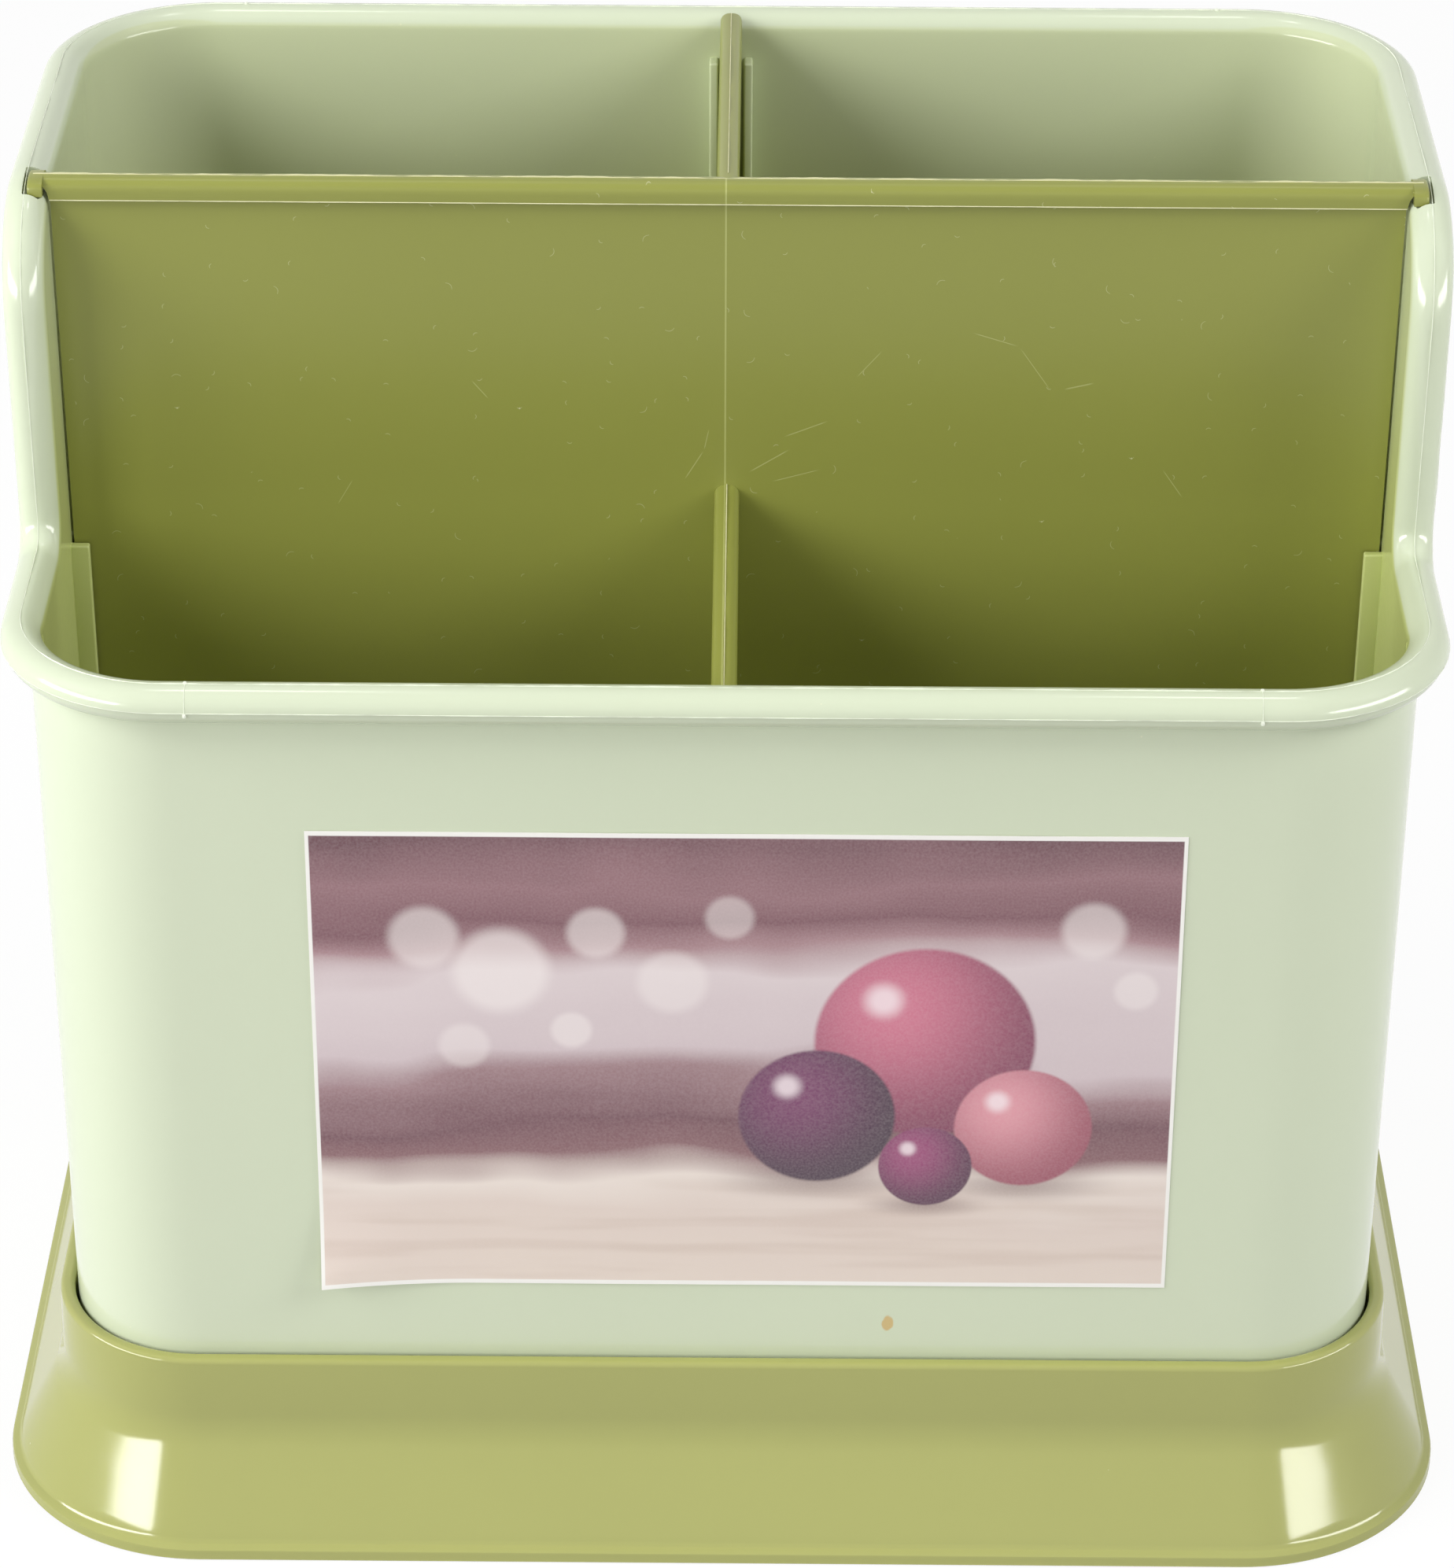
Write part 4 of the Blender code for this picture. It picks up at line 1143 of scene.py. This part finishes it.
def label_finish():
    """Varnished paper with a soft print: plum and mauve bands, pale glows, round fruit on a cream table.

    A fruit's tone is mixed by the distance from a light spot up and left of its middle, and a blurred
    ellipse darkens the table under it.
    """
    made, shader, wire = new_material("label_paper")
    position, (x, y, z) = place(wire)
    across = x - LABEL_LOW.x
    up = z - LABEL_LOW.z
    blur = noise(mapped(position, scale=(1, 1, 0.35)), 45, 1)
    bands = noise(mapped(position, scale=(0.15, 1, 1)), 70, 2)
    height = up / (LABEL_HIGH.z - LABEL_LOW.z) + (blur - 0.5) * 0.10 + (bands - 0.5) * 0.22
    stops = [
        (0.0, colour(226, 211, 199)),
        (1.0, colour(92, 48, 60)),
        (0.17, colour(222, 206, 196)),
        (0.24, colour(232, 220, 211)),
        (0.29, colour(126, 84, 90)),
        (0.36, colour(104, 60, 72)),
        (0.45, colour(150, 116, 122)),
        (0.52, colour(206, 190, 194)),
        (0.68, colour(217, 203, 205)),
        (0.76, colour(160, 122, 128)),
        (0.82, colour(112, 64, 76)),
        (0.9, colour(138, 96, 104)),
    ]
    shade = wire.node("ShaderNodeValToRGB", {"stops": stops}, {"Fac": height})
    boards = noise(mapped(position, scale=(0.08, 1, 1)), 260, 2)
    table = (1 - up.soft(17 * MM, 22 * MM)) * boards.soft(0.45, 0.7)
    shade = (table * 0.35).mixed(shade, colour(196, 174, 160))
    for ball_x, ball_z, radius, *_ in BALLS:
        flat, low = (across - ball_x * MM) * 0.6, (up - (ball_z - radius) * MM) * 2.6
        shadow = 1 - (flat * flat + low * low).root().soft(0, radius * MM)
        shade = (shadow * 0.6).mixed(shade, colour(108, 76, 76))
    for glow_x, glow_z, radius, weight in GLOWS:
        glow = disc(across, up, glow_x, glow_z, radius, 0.22)
        shade = (glow * weight).mixed(shade, colour(243, 234, 232))
    for ball_x, ball_z, radius, light, dark in BALLS:
        body = disc(across, up, ball_x, ball_z, radius, 0.03)
        lit = disc(across, up, ball_x - 0.3 * radius, ball_z + 0.35 * radius, 0.75 * radius, 0.95)
        shine = disc(across, up, ball_x - 0.38 * radius, ball_z + 0.45 * radius, 0.16 * radius, 0.6)
        tone = (shine * 0.75).mixed(lit.mixed(dark, light), colour(250, 236, 240))
        shade = body.mixed(shade, tone)
    grain = noise(position, 2600, 1)
    shade = (grain * 0.2).mixed(shade, colour(226, 214, 214))
    side, middle = (LABEL_HIGH.x - LABEL_LOW.x) / 2, (LABEL_HIGH.z - LABEL_LOW.z) / 2
    border = (across - side).size().soft(side - 0.7 * MM, side - 0.5 * MM)
    border = border.greatest((up - middle).size().soft(middle - 0.9 * MM, middle - 0.7 * MM))
    shade = border.mixed(shade, colour(243, 241, 236))
    rough = noise(position, 400, 2) * 0.1 + 0.3
    wire.tree.links.new(rough.socket, shader.inputs["Roughness"])
    ripple = noise(position, 60, 2) * 0.5 * MM + grain * 0.004 * MM
    connect(wire, shader, shade, ripple, 0.1)
    return made


# Stage, lamps and camera


def stage_plane(name, half, z):
    mesh = bpy.data.meshes.new(name)
    corners = [(-half, -half, z), (half, -half, z), (half, half, z), (-half, half, z)]
    mesh.from_pydata(corners, [], [(0, 1, 2, 3)])
    made = object_from(name, mesh)
    return made


def seen_rays(wire):
    """1 for rays from the camera, and for those that a gloss or a clear piece sends on."""
    names = ("Is Camera Ray", "Is Glossy Ray", "Is Transmission Ray")
    camera, glossy, clear = (wire.node("ShaderNodeLightPath", {}, {}, name) for name in names)
    return camera.greatest(glossy).greatest(clear)


# The floor's paint for light that bounces and as the camera sees it, and its glow near and far
FLOOR_BOUNCE = 0.45
FLOOR_SEEN = 0.95
FLOOR_GLOW = 0.92


def make_floor():
    floor = stage_plane("floor", 4.0, -0.2 * MM)
    made = bpy.data.materials.new("pale_floor")
    made.use_nodes = True
    tree = made.node_tree
    tree.nodes.clear()
    wire = Wire(tree)
    glow = wire.node("ShaderNodeEmission", {}, {"Color": (1, 1, 1, 1), "Strength": 1.0})
    seen = seen_rays(wire)
    shade = seen.mixed((FLOOR_BOUNCE,) * 3 + (1.0,), (FLOOR_SEEN,) * 3 + (1.0,))
    paint = wire.node("ShaderNodeBsdfDiffuse", {}, {"Color": shade})
    _, (x, y, _) = place(wire)
    far = (x * x + y * y).root().soft(0.5, 1.6)
    mix = wire.node("ShaderNodeMixShader", {}, {0: seen * (FLOOR_GLOW + far * (1 - FLOOR_GLOW)), 1: paint, 2: glow})
    wire.node("ShaderNodeOutputMaterial", {}, {"Surface": mix})
    floor.data.materials.append(made)


WORLD_LIGHT = 0.02


def make_world():
    world = bpy.data.worlds.new("studio")
    bpy.context.scene.world = world
    world.use_nodes = True
    tree = world.node_tree
    tree.nodes.clear()
    wire = Wire(tree)
    strength = seen_rays(wire) * (1.0 - WORLD_LIGHT) + WORLD_LIGHT
    back = wire.node("ShaderNodeBackground", {}, {"Color": (1, 1, 1, 1), "Strength": strength})
    wire.node("ShaderNodeOutputWorld", {}, {"Surface": back})


# Each lamp's two ends, height and power, and whether it is a fill
LAMPS = {
    "overhead_fill": ((-0.5, 0.15, 1.6), (0.5, 0.15, 1.6), 1.0, 1.7, True),
    "left_side_fill": ((-1.3, -0.6, 0.55), (-1.3, 0.4, 0.55), 0.9, 7.3, True),
    "right_side_fill": ((1.3, 0.4, 0.55), (1.3, -0.6, 0.55), 0.9, 2.8, True),
    "left_fill": ((-1.2, -0.75, 1.0), (-1.2, -0.05, 1.0), 0.7, 13.2, True),
    "right_fill": ((1.2, -0.05, 1.0), (1.2, -0.75, 1.0), 0.7, 14.0, True),
    "front_fill": ((-0.6, -1.9, 0.55), (0.6, -1.9, 0.55), 0.8, 8.0, True),
    "left_front_fill": ((-1.23, -1.0, 0.7), (-0.77, -1.4, 0.7), 0.8, 9.6, True),
    "back_fill": ((0.6, 1.8, 0.5), (-0.6, 1.8, 0.5), 0.6, 7.0, True),
    "left_strip": ((-0.686, -1.03, 0.24), (-1.0, -0.1, 0.24), 0.2, 9.0, False),
    "right_strip": ((0.686, -1.03, 0.24), (1.0, -0.1, 0.24), 0.2, 6.8, False),
    "left_spot": ((-0.26, 0.1, 1.3), (-0.14, 0.1, 1.3), 0.14, 0.45, False),
    "right_spot": ((0.14, 0.1, 1.3), (0.26, 0.1, 1.3), 0.14, 0.45, False),
}
LAMP_AIM = Vector((0, 0, 0.08))


def make_lamps():
    """Rectangular studio lamps, each along the line between its ends and facing the object.

    A fill lights the object without showing in its gloss, and the others show in the gloss alone.
    """
    for name, (start, end, height, power, fill) in LAMPS.items():
        start, end = Vector(start), Vector(end)
        along = (end - start).normalized()
        back = (start + end) / 2 - LAMP_AIM
        back = (back - along * back.dot(along)).normalized()
        turn = Matrix((along, back.cross(along), back)).transposed().to_4x4()
        data = bpy.data.lights.new(name, "AREA")
        data.shape = "RECTANGLE"
        data.size, data.size_y = (end - start).length, height
        data.energy = power
        made = bpy.data.objects.new(name, data)
        made.matrix_world = Matrix.Translation((start + end) / 2) @ turn
        made.visible_glossy = not fill
        made.visible_diffuse = fill
        bpy.context.scene.collection.objects.link(made)


# The view fitted to the object's edges in the photograph
CAMERA_PLACE = (0.00468, -0.77953, 0.54731)
CAMERA_RIGHT = (0.9999721, 0.00557306, 0.00497306)
CAMERA_FORWARD = (-0.00238209, 0.86898192, -0.49483811)
CAMERA_LENS = 122.33
CAMERA_SHIFT = -0.00892


def make_camera():
    """The photograph's view: position, axes and focal length fitted to the object's edges."""
    data = bpy.data.cameras.new("view")
    data.sensor_width = 36.0
    data.lens = CAMERA_LENS
    data.shift_x = CAMERA_SHIFT
    data.clip_end = 20
    made = bpy.data.objects.new("view", data)
    right, forward = Vector(CAMERA_RIGHT), Vector(CAMERA_FORWARD).normalized()
    up = right.cross(forward).normalized()
    right = forward.cross(up).normalized()
    turn = Matrix((right, up, -forward)).transposed().to_4x4()
    made.matrix_world = Matrix.Translation(CAMERA_PLACE) @ turn
    bpy.context.scene.collection.objects.link(made)
    bpy.context.scene.camera = made


def main():
    bpy.context.scene.view_settings.view_transform = "Standard"
    make_bin(bin_finish())
    make_rim_flash(flash_and_highlight_finish("rim_flash", colour(240, 245, 228)))
    make_divider(divider_finish())
    # the divider's pale flash colour, also the painted highlight line on the main bead's lower edges
    make_divider_flash_and_edge_highlight(flash_and_highlight_finish("divider_flash_and_edge_highlight", colour(226, 224, 182)))
    make_tray(tray_finish())
    make_label(label_finish())
    make_floor()
    make_world()
    make_lamps()
    make_camera()


main()
